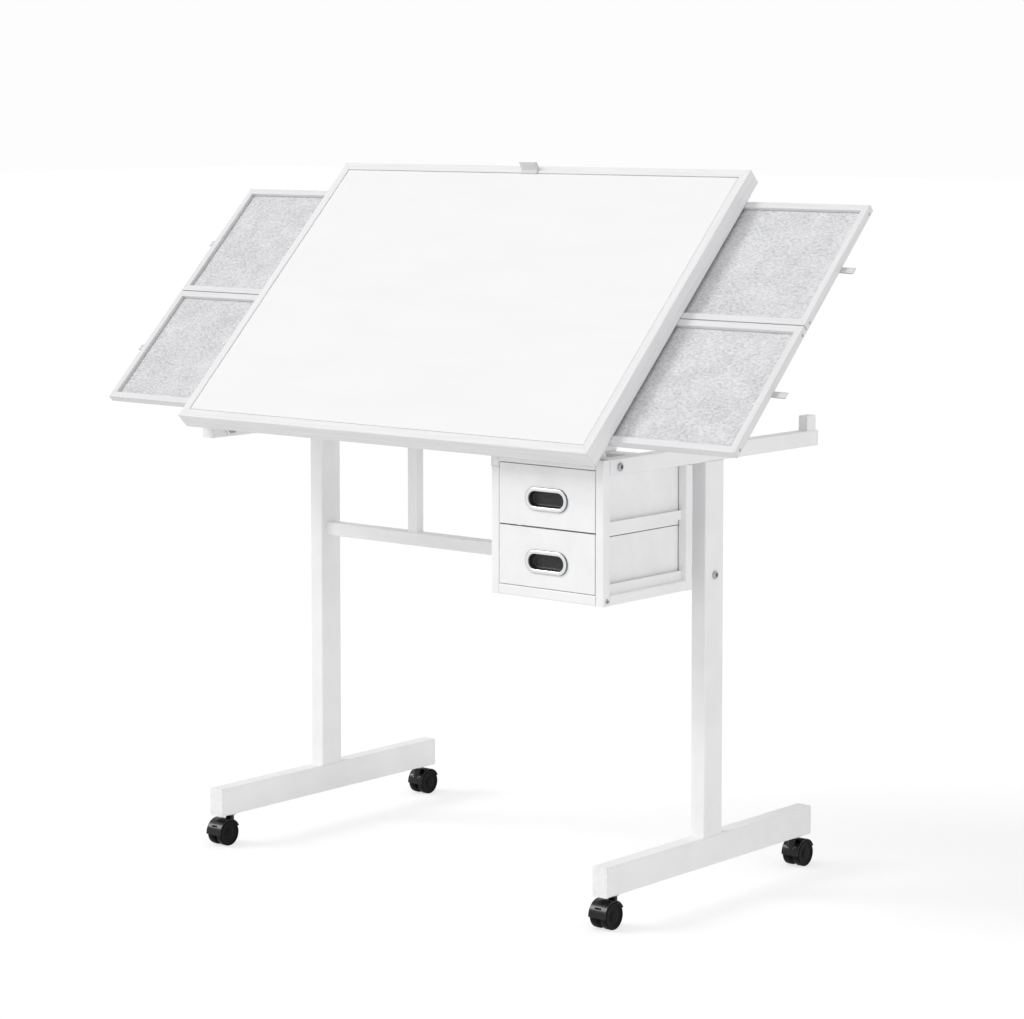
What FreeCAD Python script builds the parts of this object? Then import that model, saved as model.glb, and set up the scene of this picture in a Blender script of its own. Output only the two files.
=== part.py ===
"""Jigsaw puzzle table: a tilting board on a wheeled steel frame, with side trays and drawers.

X runs across the table, Y from front to back and Z up. The origin is on the floor, in the
middle of the table. All sizes are in millimetres and live in the spreadsheet Sizes; places
that several pieces share are worked out from them in the variable set Layout.
"""
import FreeCAD, Part
import math
import os
import re
import Sketcher

# name, value, meaning
SIZES = [
    # legs
    ("board_overhang", 7.5, "board beyond the legs and side rails at each side"),
    ("foot_length", 574, "length of each foot, end caps included"),
    ("foot_width", 30, "width of the foot tube"),
    ("foot_height", 50, "height of the foot tube"),
    ("upright_height", 631, "length of the upright tubes"),
    ("upright_width", 30, "size of the upright tube across the table"),
    ("upright_depth", 50, "size of the upright tube from front to back"),
    ("leg_wall", 1.5, "wall of the foot and upright tubes"),
    ("leg_corner", 3, "outer corner radius of the foot and upright tubes"),
    ("leg_setback", 25.6, "legs' centre line behind the middle of the table"),
    # rails between and on top of the legs
    ("rail_inset", 14.9, "rear ends of the side rails before the rear of the board laid flat"),
    ("rail_width", 25, "width of the side rails"),
    ("rail_height", 27, "height of the side rails"),
    ("rail_wall", 1.2, "wall of the rail and post tubes"),
    ("rail_corner", 2.4, "outer corner radius of the rail and post tubes"),
    ("rail_front_reach", 272.5, "front ends of the side rails before the middle of the table"),
    ("cross_depth", 25, "depth of the two rails between the uprights"),
    ("cross_rail_height", 22, "height of the upper cross rail"),
    ("stretcher_height", 24, "height of the low stretcher"),
    ("stretcher_level", 532.5, "floor to the underside of the stretcher"),
    ("mid_post_width", 22, "width of the mid posts"),
    ("mid_post_depth", 20, "depth of the mid posts"),
    ("mid_post_spacing", 427.6, "distance between the centres of the mid posts"),
    ("cap_thick", 3, "plate of a tube end cap"),
    ("cap_plug", 12, "depth of an end cap's plug"),
    ("cap_fit", 0.2, "clearance of an end cap's plug in its tube"),
    ("rest_post_width", 18, "width of the rest posts"),
    ("rest_post_depth", 25.3, "depth of the rest posts"),
    ("rest_post_setback", 2.5, "rest posts before the rear ends of the side rails"),
    ("rest_gap", 0.3, "gap between a rest post and the board laid flat"),
    # cabinet
    ("cabinet_width", 234, "outside width of the cabinet"),
    ("cabinet_depth", 236, "outside depth of the cabinet"),
    ("cabinet_drop", 207.5, "cabinet's bottom below the side rails"),
    ("stile_size", 17, "square tube of the cabinet frame"),
    ("top_rail_depth", 14, "depth of the cabinet's front top rail"),
    ("panel_thick", 3, "cabinet back and bottom panels"),
    ("bottom_panel_sink", 3, "bottom panel below the top of its rails"),
    ("back_panel_gap", 21, "back panel's top edge below the top of the side rails"),
    ("runner_height", 15.5, "web of the drawer runners"),
    ("runner_wall", 1.6, "sheet of the drawer runners"),
    ("runner_recess", 10.4, "runners behind the outer face of the cabinet frame"),
    ("upper_runner_level", 100, "upper runners above the lower ones"),
    # drawers
    ("drawer_gap", 1, "gap round a drawer front"),
    ("drawer_middle_gap", 2.5, "gap between the two drawer fronts"),
    ("lower_front_height", 96.5, "height of the lower drawer front"),
    ("drawer_front_thick", 12, "thickness of the drawer fronts"),
    ("drawer_board", 10, "thickness of a drawer's sides and back"),
    ("drawer_floor", 4, "thickness of a drawer's bottom"),
    ("drawer_top_gap", 0.6, "gap between the upper drawer's sides and the side rails' underside"),
    ("drawer_back_gap", 4, "gap between a drawer and the back panel"),
    ("slide_gap", 0.3, "clearance of a sliding piece on its runner"),
    ("pull_length", 88, "length of the pull's ring"),
    ("pull_height", 38, "height of the pull's ring"),
    ("pull_slot_length", 71, "length of the pull's opening"),
    ("pull_slot_height", 24.4, "height of the pull's opening"),
    ("pull_ring_thick", 3, "ring's thickness on the drawer front"),
    ("pull_cup_depth", 10, "depth of the cup behind the ring"),
    ("pull_cup_wall", 1.5, "wall of the cup"),
    ("pull_drop", 54, "pull's centre below the top of its drawer front"),
    # board
    ("tilt_angle", 45, "slope of the board as it stands"),
    ("board_width", 919, "width of the board over its rim"),
    ("board_depth", 617, "depth of the board over its rim, along the slope"),
    ("rim_width", 16.5, "width of the rim's top face"),
    ("rim_height", 31, "height of the rim"),
    ("rim_wall", 1.5, "wall of the rim's hollow"),
    ("ledge_width", 5.5, "ledge in the rim that the cover lies on"),
    ("ledge_thick", 5, "thickness of that ledge"),
    ("cover_thick", 4, "thickness of the loose cover panel"),
    ("cover_sink", 1, "cover's face below the top of the rim"),
    ("cover_gap", 1.2, "groove round the cover"),
    ("felt_thick", 2, "thickness of the felt on the board and the trays"),
    ("felt_gap", 0.5, "gap round a felt"),
    ("board_panel_thick", 9, "thickness of the puzzle board"),
    ("panel_gap", 0.3, "gap round the puzzle board"),
    ("cover_tab_width", 39, "width of the cover's ribbon tab"),
    ("cover_tab_height", 15, "ribbon tab above the cover"),
    ("cover_tab_thick", 2.1, "thickness of the folded ribbon"),
    ("cover_tab_gap", 0.3, "gap round the ribbon tab"),
    ("cover_tab_shift", 9.5, "ribbon tab to the left of the middle"),
    # guides under the board
    ("lane_front", 51.3, "front of the trays' lane behind the board's front edge"),
    ("lane_back", 42.6, "rear of that lane before the board's rear edge"),
    ("guide_wall", 2, "web and top flange of the guides"),
    ("guide_lip_thick", 2.5, "bottom flange of the guides"),
    ("guide_lip", 8.7, "bottom flange's reach under a tray"),
    ("middle_web", 1.2, "web of the middle guide"),
    ("middle_flange", 40, "bottom flange of the middle guide"),
    ("front_guide_overhang", 2.5, "front guide's bottom flange under the rim"),
    # trays
    ("tray_length", 455, "length of a tray along its slide"),
    ("tray_thick", 14, "height of a tray's frame"),
    ("tray_strip", 12.5, "width of a tray's frame strips"),
    ("tray_spread", 241.8, "tray's outer end beyond the board as it stands"),
    ("tray_top_gap", 0.4, "tray below the rim"),
    ("tray_side_gap", 0.4, "tray beside a guide's web"),
    ("tray_floor", 3, "thickness of a tray's bottom"),
    ("tray_recess", 6, "felt below the top of a tray's frame"),
    ("tray_groove", 5, "groove in the frame for the tray's bottom"),
    ("tray_tab_width", 12, "width of a tray's ribbon tab"),
    ("tray_tab_reach", 26, "ribbon tab beyond the tray's end"),
    ("tray_tab_thick", 1, "thickness of a tray's ribbon tab"),
    # tilt hinge and stay
    ("pivot_inset", 45.4, "tilt axis behind the board's front edge"),
    ("lug_drop", 39.8, "tilt axis below the guides"),
    ("pivot_setback", 41.3, "tilt axis behind the front ends of the side rails"),
    ("pin_radius", 4, "hinge bolts, stay pins and foot rod"),
    ("running_fit", 0.05, "radial clearance of a turning fit"),
    ("fixed_fit", 0.03, "radial clearance of a fixed fit"),
    ("lug_thick", 4, "plate of the lugs"),
    ("lug_gap", 2, "gap beside a lug"),
    ("lug_foot_width", 16, "foot flange of a lug"),
    ("lug_foot_thick", 3, "thickness of that flange"),
    ("hinge_ear_radius", 8.5, "round end of a hinge lug"),
    ("hinge_lug_back", 14.6, "hinge lug's top corner behind the tilt axis"),
    ("stay_ear_radius", 10, "round end of a stay lug"),
    ("stay_lug_width", 34, "width of a stay lug at the guide"),
    ("arm_width", 16, "width of the stay's flat bars"),
    ("arm_thick", 4, "thickness of the stay's flat bars"),
    ("arm_gap", 3, "gap between an arm and its track"),
    ("stay_bar_offset", 60, "cross bar from the stay's pins"),
    ("stay_bar_radius", 6, "radius of the cross bar"),
    ("track_depth", 6, "depth of the track channels"),
    ("track_wall", 1.5, "wall of the track channels"),
    ("track_slot", 9, "slot that the foot rod rolls in"),
    ("track_margin", 14, "track beyond the foot rod's two end places"),
    ("rod_end_gap", 0.5, "gap between the rod's end and the track"),
    # bolts
    ("bolt_head_radius", 7, "heads of the hinge and stretcher bolts"),
    ("bolt_head_height", 4, "height of those heads"),
    ("nut_flats", 13, "width across the flats of the nuts"),
    ("nut_thick", 5, "thickness of the nuts"),
    ("nut_gap", 0.3, "gap between nut and lug"),
    ("bolt_end", 1.2, "bolt beyond its nut"),
    ("stretcher_bolt_length", 55, "length of the stretcher bolts"),
    ("small_head_radius", 4, "heads of the cabinet bolts"),
    ("small_head_height", 2, "height of those heads"),
    ("small_shank_radius", 2.5, "shanks of the cabinet bolts"),
    ("small_bolt_length", 24, "length of the cabinet bolts"),
    # casters
    ("caster_inset", 34, "caster stems from the ends of the feet"),
    ("caster_trail", 17, "wheel axle beside the stem"),
    ("wheel_radius", 22.5, "radius of the wheels"),
    ("wheel_width", 12.5, "width of a wheel"),
    ("wheel_gap", 10, "gap between the two wheels"),
    ("wheel_dish", 1.6, "hollow in a wheel's outer face"),
    ("axle_radius", 3, "radius of the wheel axle"),
    ("hood_gap", 1, "gap between wheel and hood"),
    ("hood_wall", 2, "wall of the hood"),
    ("hood_width", 34, "width of the hood"),
    ("hood_web", 8.4, "web of the hood between the wheels"),
    ("hood_boss_radius", 7, "boss round the axle"),
    ("hood_back_angle", 25, "hood's rear edge above the axle"),
    ("hood_web_angle", 150, "front edge of the hood's web"),
    ("hood_front_angle", 183, "front edge of the hood"),
    ("hood_slot_angle", 147, "slot in the hood's front"),
    ("hood_slot_width", 12.8, "width of that slot"),
    ("hood_slot_height", 2.5, "height of that slot"),
    ("neck_radius", 7.5, "neck of the hood"),
    ("caster_neck", 6, "clear height between the hood and the foot"),
    ("neck_root", 20, "lower end of the neck below the foot"),
    ("stem_depth", 12.5, "lower end of the steel stem below the foot"),
    ("stem_rise", 30, "stem inside the foot"),
    ("socket_flange_radius", 11, "flange of the stem's socket"),
    ("socket_flange_thick", 2, "thickness of that flange"),
    ("socket_radius", 6.5, "sleeve of the stem's socket"),
    ("swivel_gap", 0.3, "gap between neck and socket"),
]

# name, formula
LAYOUT = [
    ("hood_inner_radius", "wheel_radius + hood_gap"),
    ("hood_outer_radius", "hood_inner_radius + hood_wall"),
    ("caster_height", "wheel_radius + hood_outer_radius + caster_neck"),
    ("base_width", "board_width - 2 * board_overhang"),
    ("foot_top", "caster_height + foot_height"),
    ("rail_bottom", "foot_top + upright_height"),
    ("rail_top", "rail_bottom + rail_height"),
    ("leg_x", "base_width / 2 - upright_width / 2"),
    ("rail_x", "base_width / 2 - rail_width / 2"),
    ("rail_inner_x", "base_width / 2 - rail_width"),
    ("leg_inner_x", "base_width / 2 - upright_width"),
    ("cross_back_y", "leg_setback + cross_depth / 2"),
    ("cross_rail_bottom", "rail_bottom - cross_rail_height"),
    ("stretcher_top", "stretcher_level + stretcher_height"),
    # cabinet
    ("cabinet_x", "base_width / 2 - cabinet_width / 2"),
    ("cabinet_bottom", "rail_bottom - cabinet_drop"),
    ("cabinet_rail_top", "cabinet_bottom + stile_size"),
    ("cabinet_back_y", "cabinet_depth - rail_front_reach"),
    ("opening_width", "cabinet_width - 2 * stile_size"),
    ("opening_top", "rail_top - stile_size"),
    ("lower_front_bottom", "cabinet_rail_top + drawer_gap"),
    ("upper_front_bottom", "lower_front_bottom + lower_front_height + drawer_middle_gap"),
    ("upper_front_height", "opening_top - drawer_gap - upper_front_bottom"),
    ("drawer_width", "opening_width - 2 * drawer_gap"),
    ("lower_box_bottom", "cabinet_rail_top + runner_wall + slide_gap"),
    ("upper_box_bottom", "lower_box_bottom + upper_runner_level"),
    ("drawer_box_height", "rail_bottom - drawer_top_gap - upper_box_bottom"),
    ("runner_flange", "cabinet_width / 2 - runner_recess - drawer_width / 2 + drawer_board"),
    ("drawer_box_depth", "cabinet_depth - drawer_front_thick - panel_thick - drawer_back_gap"),
    # board, seen from the tilt axis with the board laid flat
    ("pivot_y", "pivot_setback - rail_front_reach"),
    ("pivot_z", "rail_bottom + rail_height / 2"),
    ("board_front", "-pivot_inset"),
    ("board_back", "board_depth - pivot_inset"),
    ("board_middle", "board_depth / 2 - pivot_inset"),
    ("rail_back_y", "pivot_y + board_back - rail_inset"),
    ("pivot_drop", "rim_height + tray_top_gap + tray_thick + slide_gap + guide_lip_thick + lug_drop"),
    ("rim_bottom", "pivot_drop - rim_height"),
    ("cover_bottom", "pivot_drop - cover_sink - cover_thick"),
    ("panel_top", "cover_bottom - ledge_thick"),
    ("panel_bottom", "panel_top - board_panel_thick"),
    ("lane_start", "lane_front - pivot_inset"),
    ("lane_end", "board_back - lane_back"),
    ("lane_middle", "(lane_start + lane_end) / 2"),
    ("tray_top", "rim_bottom - tray_top_gap"),
    ("tray_bottom", "tray_top - tray_thick"),
    ("lip_top", "tray_bottom - slide_gap"),
    ("lip_bottom", "lip_top - guide_lip_thick"),
    ("guide_length", "board_width - 2 * rim_width"),
    ("tray_width", "(lane_end - lane_start - middle_web) / 2 - 2 * tray_side_gap"),
    ("lower_tray_y", "lane_start + tray_side_gap + tray_width / 2"),
    ("upper_tray_y", "lane_end - tray_side_gap - tray_width / 2"),
    ("tray_x", "board_width / 2 + tray_spread - tray_length / 2"),
    # stay: as long as the distance from the tilt axis to its pins, so its foot stays level
    ("stay_length", "lane_middle"),
    ("stay_pin_y", "pivot_y + stay_length * cos(tilt_angle)"),
    ("stay_pin_z", "pivot_z + stay_length * sin(tilt_angle)"),
    ("stay_foot_y", "pivot_y + 2 * stay_length * cos(tilt_angle)"),
    ("stay_flat_y", "pivot_y + 2 * stay_length"),
    ("track_inner_x", "rail_inner_x - track_depth"),
    ("arm_outer_x", "track_inner_x - arm_gap"),
    ("arm_inner_x", "arm_outer_x - arm_thick"),
    ("stay_lug_outer_x", "arm_inner_x - lug_gap"),
    ("hinge_lug_outer_x", "rail_inner_x - lug_gap"),
    ("hinge_lug_inner_x", "hinge_lug_outer_x - lug_thick"),
    # casters
    ("caster_y", "foot_length / 2 - caster_inset"),
    ("neck_top", "caster_height - socket_flange_thick - swivel_gap"),
    ("neck_bottom", "caster_height - neck_root"),
    ("stem_seat", "caster_height - stem_depth"),
]

DOC = FreeCAD.newDocument("PuzzleTable")
NODES = []


# ---------------------------------------------------------------- document helpers

def make_sheet():
    """Fills the spreadsheet with the driving sizes, one row each."""
    sheet = DOC.addObject("Spreadsheet::Sheet", "Sizes")
    for row, (name, size, meaning) in enumerate(SIZES, 1):
        sheet.set(f"A{row}", meaning)
        sheet.set(f"B{row}", str(size))
        sheet.setAlias(f"B{row}", name)
    DOC.recompute()
    return sheet


def make_layout():
    """Adds the places that several pieces share, each bound to its formula."""
    layout = DOC.addObject("App::VarSet", "Layout")
    for name, formula in LAYOUT:
        layout.addProperty("App::PropertyFloat", name, "Layout")
        layout.setExpression(name, bound(formula))
    DOC.recompute()
    return layout


OWNERS = {name: "Sizes" for name, *_ in SIZES}
OWNERS.update({name: "Layout" for name, _ in LAYOUT})


def bound(formula):
    """Turns a formula in plain names into an expression on the sheet and the layout."""
    return re.sub(r"[a-z][a-z_]+", lambda word: f"{OWNERS[word[0]]}.{word[0]}"
                  if word[0] in OWNERS else word[0], formula)


def value(formula):
    """Works a formula out as a number."""
    return float(SHEET.evalExpression(bound(formula)))


def bind(thing, path, formula):
    """Binds one property to a formula."""
    thing.setExpression(path, bound(formula))


def place(thing, x="0", y="0", z="0", axis=None, angle="0"):
    """Puts a piece at x, y, z, turned by an angle about an axis through that point."""
    if axis:
        thing.Placement = FreeCAD.Placement(FreeCAD.Vector(), FreeCAD.Rotation(axis, 1))
        bind(thing, "Placement.Rotation.Angle", angle)
    bind(thing, "Placement.Base.x", x)
    bind(thing, "Placement.Base.y", y)
    bind(thing, "Placement.Base.z", z)


X_AXIS = FreeCAD.Vector(1, 0, 0)
Z_AXIS = FreeCAD.Vector(0, 0, 1)


def place_on_board(thing, x="0", y="0", z="0"):
    """Puts a piece where it lies on the flat board, then tilts it with the board."""
    place(thing, x,
          f"pivot_y + ({y}) * cos(tilt_angle) - ({z}) * sin(tilt_angle)",
          f"pivot_z + ({y}) * sin(tilt_angle) + ({z}) * cos(tilt_angle)",
          X_AXIS, "tilt_angle")


def new_body(name):
    """Makes an empty body."""
    body = DOC.addObject("PartDesign::Body", name)
    body.Label = name
    return body


def keep(piece):
    """Lists a finished piece as one of the table's sub-parts."""
    NODES.append(piece)
    return piece


def group(name, members):
    """Keeps several solids of the same kind together as one sub-part."""
    assembly = DOC.addObject("Part::Compound", name)
    assembly.Label = name
    assembly.Links = members
    return keep(assembly)


# ---------------------------------------------------------------- sketch helpers

def new_sketch(body, role, offset="0"):
    """Adds a sketch parallel to one of the body's planes, offset along the plane's world axis."""
    sketch = body.newObject("Sketcher::SketchObject", body.Name + "_sketch")
    plane = [item for item in body.Origin.OriginFeatures if item.Role == role][0]
    sketch.AttachmentSupport = [(plane, "")]
    sketch.MapMode = "FlatFace"
    if offset != "0":
        along_normal = f"-({offset})" if role == "XZ_Plane" else offset
        bind(sketch, "AttachmentOffset.Base.z", along_normal)
    return sketch


def fix(sketch, kind, geometry, point, formula):
    """Ties a point's distance from the sketch's origin to a formula."""
    index = sketch.addConstraint(Sketcher.Constraint(kind, -1, 1, geometry, point, value(formula)))
    bind(sketch, f"Constraints[{index}]", formula)


def polygon(sketch, points):
    """Draws a closed outline of straight lines through points given as formulas."""
    first = sketch.GeometryCount
    spots = [FreeCAD.Vector(value(x), value(y), 0) for x, y in points]
    count = len(spots)
    for index, spot in enumerate(spots):
        sketch.addGeometry(Part.LineSegment(spot, spots[(index + 1) % count]))
    for index, (x, y) in enumerate(points):
        following = first + (index + 1) % count
        sketch.addConstraint(Sketcher.Constraint("Coincident", first + index, 2, following, 1))
        fix(sketch, "DistanceX", first + index, 1, x)
        fix(sketch, "DistanceY", first + index, 1, y)


def rectangle(sketch, x, y, width, height):
    """Draws a sharp rectangle centred on x, y."""
    left, right = f"{x} - ({width}) / 2", f"{x} + ({width}) / 2"
    low, high = f"{y} - ({height}) / 2", f"{y} + ({height}) / 2"
    polygon(sketch, [(left, low), (right, low), (right, high), (left, high)])


def round_rectangle(sketch, x, y, width, height, radius):
    """Draws a rectangle with rounded corners centred on x, y."""
    left, right = value(f"{x} - ({width}) / 2"), value(f"{x} + ({width}) / 2")
    low, high = value(f"{y} - ({height}) / 2"), value(f"{y} + ({height}) / 2")
    bend = value(radius)
    first = sketch.GeometryCount
    sides = [((left + bend, low), (right - bend, low)), ((right, low + bend), (right, high - bend)),
             ((right - bend, high), (left + bend, high)), ((left, high - bend), (left, low + bend))]
    centres = [(right - bend, low + bend), (right - bend, high - bend),
               (left + bend, high - bend), (left + bend, low + bend)]
    for start, end in sides:
        sketch.addGeometry(Part.LineSegment(FreeCAD.Vector(*start, 0), FreeCAD.Vector(*end, 0)))
    for corner, centre in enumerate(centres):
        circle = Part.Circle(FreeCAD.Vector(*centre, 0), Z_AXIS, bend)
        start = (corner - 1) * math.pi / 2
        sketch.addGeometry(Part.ArcOfCircle(circle, start, start + math.pi / 2))
    for corner in range(4):
        side, arc, following = first + corner, first + 4 + corner, first + (corner + 1) % 4
        sketch.addConstraint(Sketcher.Constraint("Tangent", side, 2, arc, 1))
        sketch.addConstraint(Sketcher.Constraint("Tangent", arc, 2, following, 1))
        sketch.addConstraint(Sketcher.Constraint("Vertical" if corner % 2 else "Horizontal", side))
    for corner in range(1, 4):
        sketch.addConstraint(Sketcher.Constraint("Equal", first + 4, first + 4 + corner))
    index = sketch.addConstraint(Sketcher.Constraint("Radius", first + 4, bend))
    bind(sketch, f"Constraints[{index}]", radius)
    fix(sketch, "DistanceX", first + 3, 1, f"{x} - ({width}) / 2")
    fix(sketch, "DistanceX", first + 1, 1, f"{x} + ({width}) / 2")
    fix(sketch, "DistanceY", first, 1, f"{y} - ({height}) / 2")
    fix(sketch, "DistanceY", first + 2, 1, f"{y} + ({height}) / 2")


def circle(sketch, x, y, radius):
    """Draws a circle."""
    index = sketch.addGeometry(
        Part.Circle(FreeCAD.Vector(value(x), value(y), 0), Z_AXIS, value(radius)))
    fix(sketch, "DistanceX", index, 3, x)
    fix(sketch, "DistanceY", index, 3, y)
    last = sketch.addConstraint(Sketcher.Constraint("Radius", index, value(radius)))
    bind(sketch, f"Constraints[{last}]", radius)


def stadium(sketch, x, y, length, height):
    """Draws a lying slot with round ends, centred on x, y."""
    reach, bend = value(f"(({length}) - ({height})) / 2"), value(f"({height}) / 2")
    middle_x, middle_y = value(x), value(y)
    first = sketch.GeometryCount
    for turn in (1, -1):
        start = FreeCAD.Vector(middle_x - turn * reach, middle_y - turn * bend, 0)
        end = FreeCAD.Vector(middle_x + turn * reach, middle_y - turn * bend, 0)
        sketch.addGeometry(Part.LineSegment(start, end))
        centre = FreeCAD.Vector(middle_x + turn * reach, middle_y, 0)
        quarter = math.pi / 2
        begin = -quarter if turn == 1 else quarter
        sketch.addGeometry(Part.ArcOfCircle(Part.Circle(centre, Z_AXIS, bend), begin, begin + math.pi))
    for index in range(4):
        following = first + (index + 1) % 4
        sketch.addConstraint(Sketcher.Constraint("Tangent", first + index, 2, following, 1))
    sketch.addConstraint(Sketcher.Constraint("Horizontal", first))
    last = sketch.addConstraint(Sketcher.Constraint("Radius", first + 1, bend))
    bind(sketch, f"Constraints[{last}]", f"({height}) / 2")
    fix(sketch, "DistanceX", first + 1, 3, f"{x} + (({length}) - ({height})) / 2")
    fix(sketch, "DistanceX", first + 3, 3, f"{x} - (({length}) - ({height})) / 2")
    fix(sketch, "DistanceY", first + 1, 3, y)


def sector(sketch, x, y, inner, outer, start, end):
    """Draws a ring sector, or a pie when inner is "0"; the angles are in degrees."""
    centre = FreeCAD.Vector(value(x), value(y), 0)
    first = sketch.GeometryCount
    turns = [math.radians(value(angle)) for angle in (start, end)]

    def spot(radius, turn):
        return centre + FreeCAD.Vector(math.cos(turn), math.sin(turn), 0) * radius

    def pin(geometry, point, radius, angle):
        fix(sketch, "DistanceX", geometry, point, f"{x} + ({radius}) * cos({angle})")
        fix(sketch, "DistanceY", geometry, point, f"{y} + ({radius}) * sin({angle})")

    def stop(geometry, radius):
        steep = abs(math.cos(turns[1])) < 0.7
        if steep:
            fix(sketch, "DistanceX", geometry, 2, f"{x} + ({radius}) * cos({end})")
        else:
            fix(sketch, "DistanceY", geometry, 2, f"{y} + ({radius}) * sin({end})")

    large, small = value(outer), value(inner)
    sketch.addGeometry(Part.ArcOfCircle(Part.Circle(centre, Z_AXIS, large), *turns))
    fix(sketch, "DistanceX", first, 3, x)
    fix(sketch, "DistanceY", first, 3, y)
    pin(first, 1, outer, start)
    sketch.addGeometry(Part.LineSegment(spot(large, turns[1]), spot(small, turns[1])))
    sketch.addGeometry(Part.LineSegment(spot(small, turns[0]), spot(large, turns[0])))
    sketch.addConstraint(Sketcher.Constraint("Coincident", first, 2, first + 1, 1))
    sketch.addConstraint(Sketcher.Constraint("Coincident", first + 2, 2, first, 1))
    if small:
        sketch.addGeometry(Part.ArcOfCircle(Part.Circle(centre, Z_AXIS, small), *turns))
        sketch.addConstraint(Sketcher.Constraint("Coincident", first + 3, 3, first, 3))
        sketch.addConstraint(Sketcher.Constraint("Coincident", first + 1, 2, first + 3, 2))
        sketch.addConstraint(Sketcher.Constraint("Coincident", first + 3, 1, first + 2, 1))
        pin(first + 3, 1, inner, start)
        stop(first + 3, inner)
    else:
        sketch.addConstraint(Sketcher.Constraint("Coincident", first + 1, 2, first, 3))
        sketch.addConstraint(Sketcher.Constraint("Coincident", first + 2, 1, first, 3))
    stop(first, outer)


# ---------------------------------------------------------------- feature helpers

def pad(body, sketch, length, both_ways=False, backwards=False):
    """Adds material along the sketch's normal, or half to each side."""
    feature = body.newObject("PartDesign::Pad", body.Name + "_pad")
    feature.Profile = sketch
    feature.SideType = "Symmetric" if both_ways else "One side"
    feature.Reversed = backwards
    bind(feature, "Length", length)
    DOC.recompute()
    return feature


def pocket(body, sketch, length, both_ways=True, backwards=False):
    """Cuts material away to both sides of the sketch, or to one; it must cut something."""
    before = body.Shape.Volume
    feature = body.newObject("PartDesign::Pocket", body.Name + "_pocket")
    feature.Profile = sketch
    feature.SideType = "Symmetric" if both_ways else "One side"
    feature.Reversed = backwards
    bind(feature, "Length", length)
    DOC.recompute()
    if not body.Shape.Volume < before:
        raise RuntimeError(f"{feature.Name} cuts nothing")
    return feature


def revolve(body, sketch, axis="H_Axis"):
    """Turns a profile all the way round one of the sketch's axes."""
    feature = body.newObject("PartDesign::Revolution", body.Name + "_turned")
    feature.Profile = sketch
    feature.ReferenceAxis = (sketch, [axis])
    feature.Angle = 360
    DOC.recompute()
    return feature


def soften(body, radius, chosen, kind="Fillet"):
    """Rounds or chamfers the edges that the chosen test picks."""
    tip = body.Tip
    names = [f"Edge{number}" for number, edge in enumerate(tip.Shape.Edges, 1) if chosen(edge)]
    feature = body.newObject("PartDesign::" + kind, body.Name + "_edges")
    feature.Base = (tip, names)
    bind(feature, "Radius" if kind == "Fillet" else "Size", radius)
    DOC.recompute()
    return feature


def mirror(body, feature, role):
    """Repeats a feature on the other side of one of the body's planes."""
    twin = body.newObject("PartDesign::Mirrored", body.Name + "_twin")
    twin.Originals = [feature]
    plane = [item for item in body.Origin.OriginFeatures if item.Role == role][0]
    twin.MirrorPlane = (plane, [""])
    body.Tip = twin
    DOC.recompute()
    return twin


def drill(body, role, x, y, radius, depth, offset="0"):
    """Drills a hole through both sides of a plane."""
    sketch = new_sketch(body, role, offset)
    circle(sketch, x, y, radius)
    pocket(body, sketch, depth)


def tube(name, role, width, height, wall, corner, length):
    """Makes a straight rectangular tube, centred on its origin, along the plane's normal."""
    body = new_body(name)
    section = new_sketch(body, role)
    round_rectangle(section, "0", "0", width, height, corner)
    rectangle(section, "0", "0", f"{width} - 2 * {wall}", f"{height} - 2 * {wall}")
    pad(body, section, length, both_ways=True)
    return body


def bar(name, role, width, height, length):
    """Makes a straight solid bar, centred on its origin, along the plane's normal."""
    body = new_body(name)
    section = new_sketch(body, role)
    rectangle(section, "0", "0", width, height)
    pad(body, section, length, both_ways=True)
    return body


# ---------------------------------------------------------------- frame

SIDES = {"left": "-1", "right": "1"}


def make_foot(side, sign):
    """Floor tube of a leg, with a hole for each caster socket in its underside."""
    body = tube(f"{side}_foot", "XZ_Plane", "foot_width", "foot_height", "leg_wall", "leg_corner",
                "foot_length - 2 * cap_thick")
    underside = new_sketch(body, "XY_Plane", "-foot_height / 2")
    circle(underside, "0", "caster_y", "socket_radius + fixed_fit")
    circle(underside, "0", "-caster_y", "socket_radius + fixed_fit")
    pocket(body, underside, "4 * leg_wall")
    place(body, f"{sign} * leg_x", "leg_setback", "caster_height + foot_height / 2")
    keep(body)


def make_upright(side, sign):
    """Upright tube: open onto the foot, closed at the top, drilled for the stretcher bolt."""
    body = new_body(f"{side}_upright")
    outside = new_sketch(body, "XY_Plane")
    round_rectangle(outside, "0", "0", "upright_width", "upright_depth", "leg_corner")
    pad(body, outside, "upright_height")
    inside = new_sketch(body, "XY_Plane")
    rectangle(inside, "0", "0", "upright_width - 2 * leg_wall", "upright_depth - 2 * leg_wall")
    pocket(body, inside, "upright_height - leg_wall", both_ways=False, backwards=True)
    drill(body, "YZ_Plane", "0", "stretcher_level + stretcher_height / 2 - foot_top",
          "pin_radius + fixed_fit", "2 * upright_width")
    place(body, f"{sign} * leg_x", "leg_setback", "foot_top")
    keep(body)


def make_side_rail(side, sign):
    """Rail on top of an upright, drilled for the tilt bolt.

    The left rail runs to the front; the right one starts behind the cabinet's front stile.
    """
    start = {"left": "cap_thick - rail_front_reach", "right": "stile_size - rail_front_reach"}[side]
    end = "(rail_back_y - cap_thick)"
    middle = f"(({start}) + {end}) / 2"
    body = tube(f"{side}_side_rail", "XZ_Plane", "rail_width", "rail_height", "rail_wall",
                "rail_corner", f"{end} - ({start})")
    drill(body, "YZ_Plane", f"pivot_y - {middle}", "0", "pin_radius + fixed_fit", "2 * rail_width")
    place(body, f"{sign} * rail_x", middle, "pivot_z")
    keep(body)


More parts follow.
